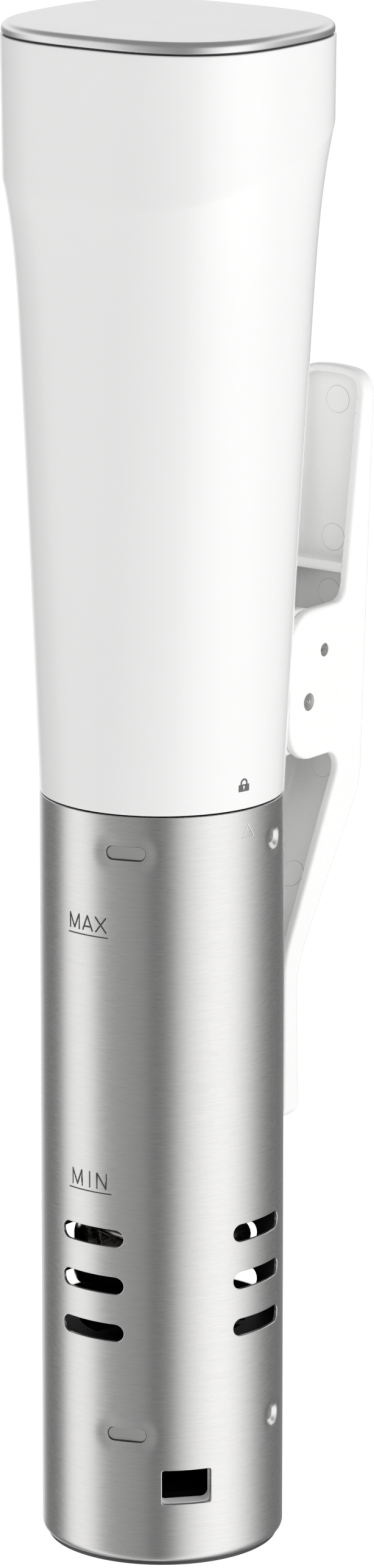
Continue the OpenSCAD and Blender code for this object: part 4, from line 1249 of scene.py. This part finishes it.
world = bpy.data.worlds.new("studio")
scene.world = world
world.use_nodes = True
nt = world.node_tree
nt.nodes.clear()
out = nt.nodes.new("ShaderNodeOutputWorld")
bg = nt.nodes.new("ShaderNodeBackground")
tc = nt.nodes.new("ShaderNodeTexCoord")
rot = nt.nodes.new("ShaderNodeVectorRotate")
rot.rotation_type = "Z_AXIS"
rot.inputs["Angle"].default_value = math.radians(-AZ)
nt.links.new(tc.outputs["Generated"], rot.inputs["Vector"])
sep = nt.nodes.new("ShaderNodeSeparateXYZ")
nt.links.new(rot.outputs["Vector"], sep.inputs["Vector"])
neg = nt.nodes.new("ShaderNodeMath")
neg.operation = "MULTIPLY"
neg.inputs[1].default_value = -1.0
nt.links.new(sep.outputs["Y"], neg.inputs[0])
at = nt.nodes.new("ShaderNodeMath")
at.operation = "ARCTAN2"
nt.links.new(sep.outputs["X"], at.inputs[0])
nt.links.new(neg.outputs[0], at.inputs[1])
mr = nt.nodes.new("ShaderNodeMapRange")
mr.inputs["From Min"].default_value, mr.inputs["From Max"].default_value = -math.pi, math.pi
nt.links.new(at.outputs[0], mr.inputs["Value"])
ramp = nt.nodes.new("ShaderNodeValToRGB")
ramp.color_ramp.interpolation = "LINEAR"
# brightness of the studio by angle from the camera's side, positive to its right
ROUND = [(-180, 1.10), (-162, 1.00), (-150, 0.30), (-140, 0.20), (-127, 0.20), (-117, 0.28), (-109, 0.55), (-103, 0.98), (-92, 1.18),
         (-81, 1.18), (-70, 0.98), (-61, 0.60), (-51, 0.44), (-36, 0.40), (-17, 0.34), (-9, 0.22), (0, 0.24), (8, 0.38), (16, 0.68),
         (24, 0.94), (33, 1.12), (41, 1.25), (50, 1.33), (62, 1.36), (74, 1.24), (86, 1.00), (98, 0.66), (110, 0.38), (124, 0.22),
         (144, 0.18), (167, 0.28), (180, 1.10)]
cr = ramp.color_ramp
while len(cr.elements) > 1:
    cr.elements.remove(cr.elements[-1])
for i, (a, val) in enumerate(ROUND):
    e = cr.elements[0] if i == 0 else cr.elements.new((a + 180) / 360)
    e.position = (a + 180) / 360
    e.color = (val, val, val, 1)
nt.links.new(mr.outputs["Result"], ramp.inputs["Fac"])
# upper part: bright on the far side, dark overhead
far = nt.nodes.new("ShaderNodeMapRange")
far.interpolation_type = "SMOOTHSTEP"
far.inputs["From Min"].default_value, far.inputs["From Max"].default_value = -0.2, 0.6
nt.links.new(sep.outputs["Y"], far.inputs["Value"])
upv = nt.nodes.new("ShaderNodeMapRange")
upv.interpolation_type = "SMOOTHSTEP"
upv.inputs["From Min"].default_value, upv.inputs["From Max"].default_value = -0.05, 0.3
nt.links.new(sep.outputs["Z"], upv.inputs["Value"])
fm = nt.nodes.new("ShaderNodeMath")
fm.operation = "MULTIPLY"
nt.links.new(far.outputs["Result"], fm.inputs[0])
nt.links.new(upv.outputs["Result"], fm.inputs[1])
m1 = nt.nodes.new("ShaderNodeMix")
m1.data_type = "RGBA"
nt.links.new(fm.outputs[0], m1.inputs["Factor"])
nt.links.new(ramp.outputs["Color"], m1.inputs["A"])
m1.inputs["B"].default_value = (1.25, 1.25, 1.25, 1)
over = nt.nodes.new("ShaderNodeMapRange")
over.interpolation_type = "SMOOTHSTEP"
over.inputs["From Min"].default_value, over.inputs["From Max"].default_value = 0.34, 0.66
nt.links.new(sep.outputs["Z"], over.inputs["Value"])
m2 = nt.nodes.new("ShaderNodeMix")
m2.data_type = "RGBA"
nt.links.new(over.outputs["Result"], m2.inputs["Factor"])
nt.links.new(m1.outputs["Result"], m2.inputs["A"])
m2.inputs["B"].default_value = (0.27, 0.27, 0.27, 1)
nt.links.new(m2.outputs["Result"], bg.inputs["Color"])
bg.inputs["Strength"].default_value = 1.0
nt.links.new(bg.outputs[0], out.inputs["Surface"])


def softbox(name, az, el, dist, w, h, watts):
    d = bpy.data.lights.new(name, "AREA")
    d.shape, d.size, d.size_y, d.energy = "RECTANGLE", w, h, watts
    o = bpy.data.objects.new(name, d)
    scene.collection.objects.link(o)
    a, e = math.radians(AZ + az), math.radians(el)
    pos = Vector((math.sin(a) * math.cos(e), -math.cos(a) * math.cos(e), math.sin(e))) * dist + Vector((0, 0, 0.19))
    o.location = pos
    o.rotation_euler = (Vector((0, 0, 0.19)) - pos).to_track_quat("-Z", "Y").to_euler()
    o.visible_camera = False
    o.visible_glossy = False
    return o


softbox("softbox_right", 62, 12, 1.6, 1.2, 1.6, 6.5)
softbox("softbox_left", -85, 10, 1.6, 0.7, 1.6, 1.6)
softbox("softbox_front", 15, 30, 1.7, 1.0, 1.0, 5.0)

scene.view_settings.view_transform = "Standard"
scene.view_settings.look = "None"

cam = bpy.data.cameras.new("camera")
cam.sensor_width, cam.sensor_fit, cam.lens = 36.0, "AUTO", 174.10
cam.clip_start, cam.clip_end = 0.05, 40.0
cam_ob = bpy.data.objects.new("camera", cam)
scene.collection.objects.link(cam_ob)
cam_ob.location = (0.9815, -1.3312, 0.5834)
cam_ob.rotation_euler = (math.radians(90 - 13.836), 0.0, math.radians(36.207))
scene.camera = cam_ob
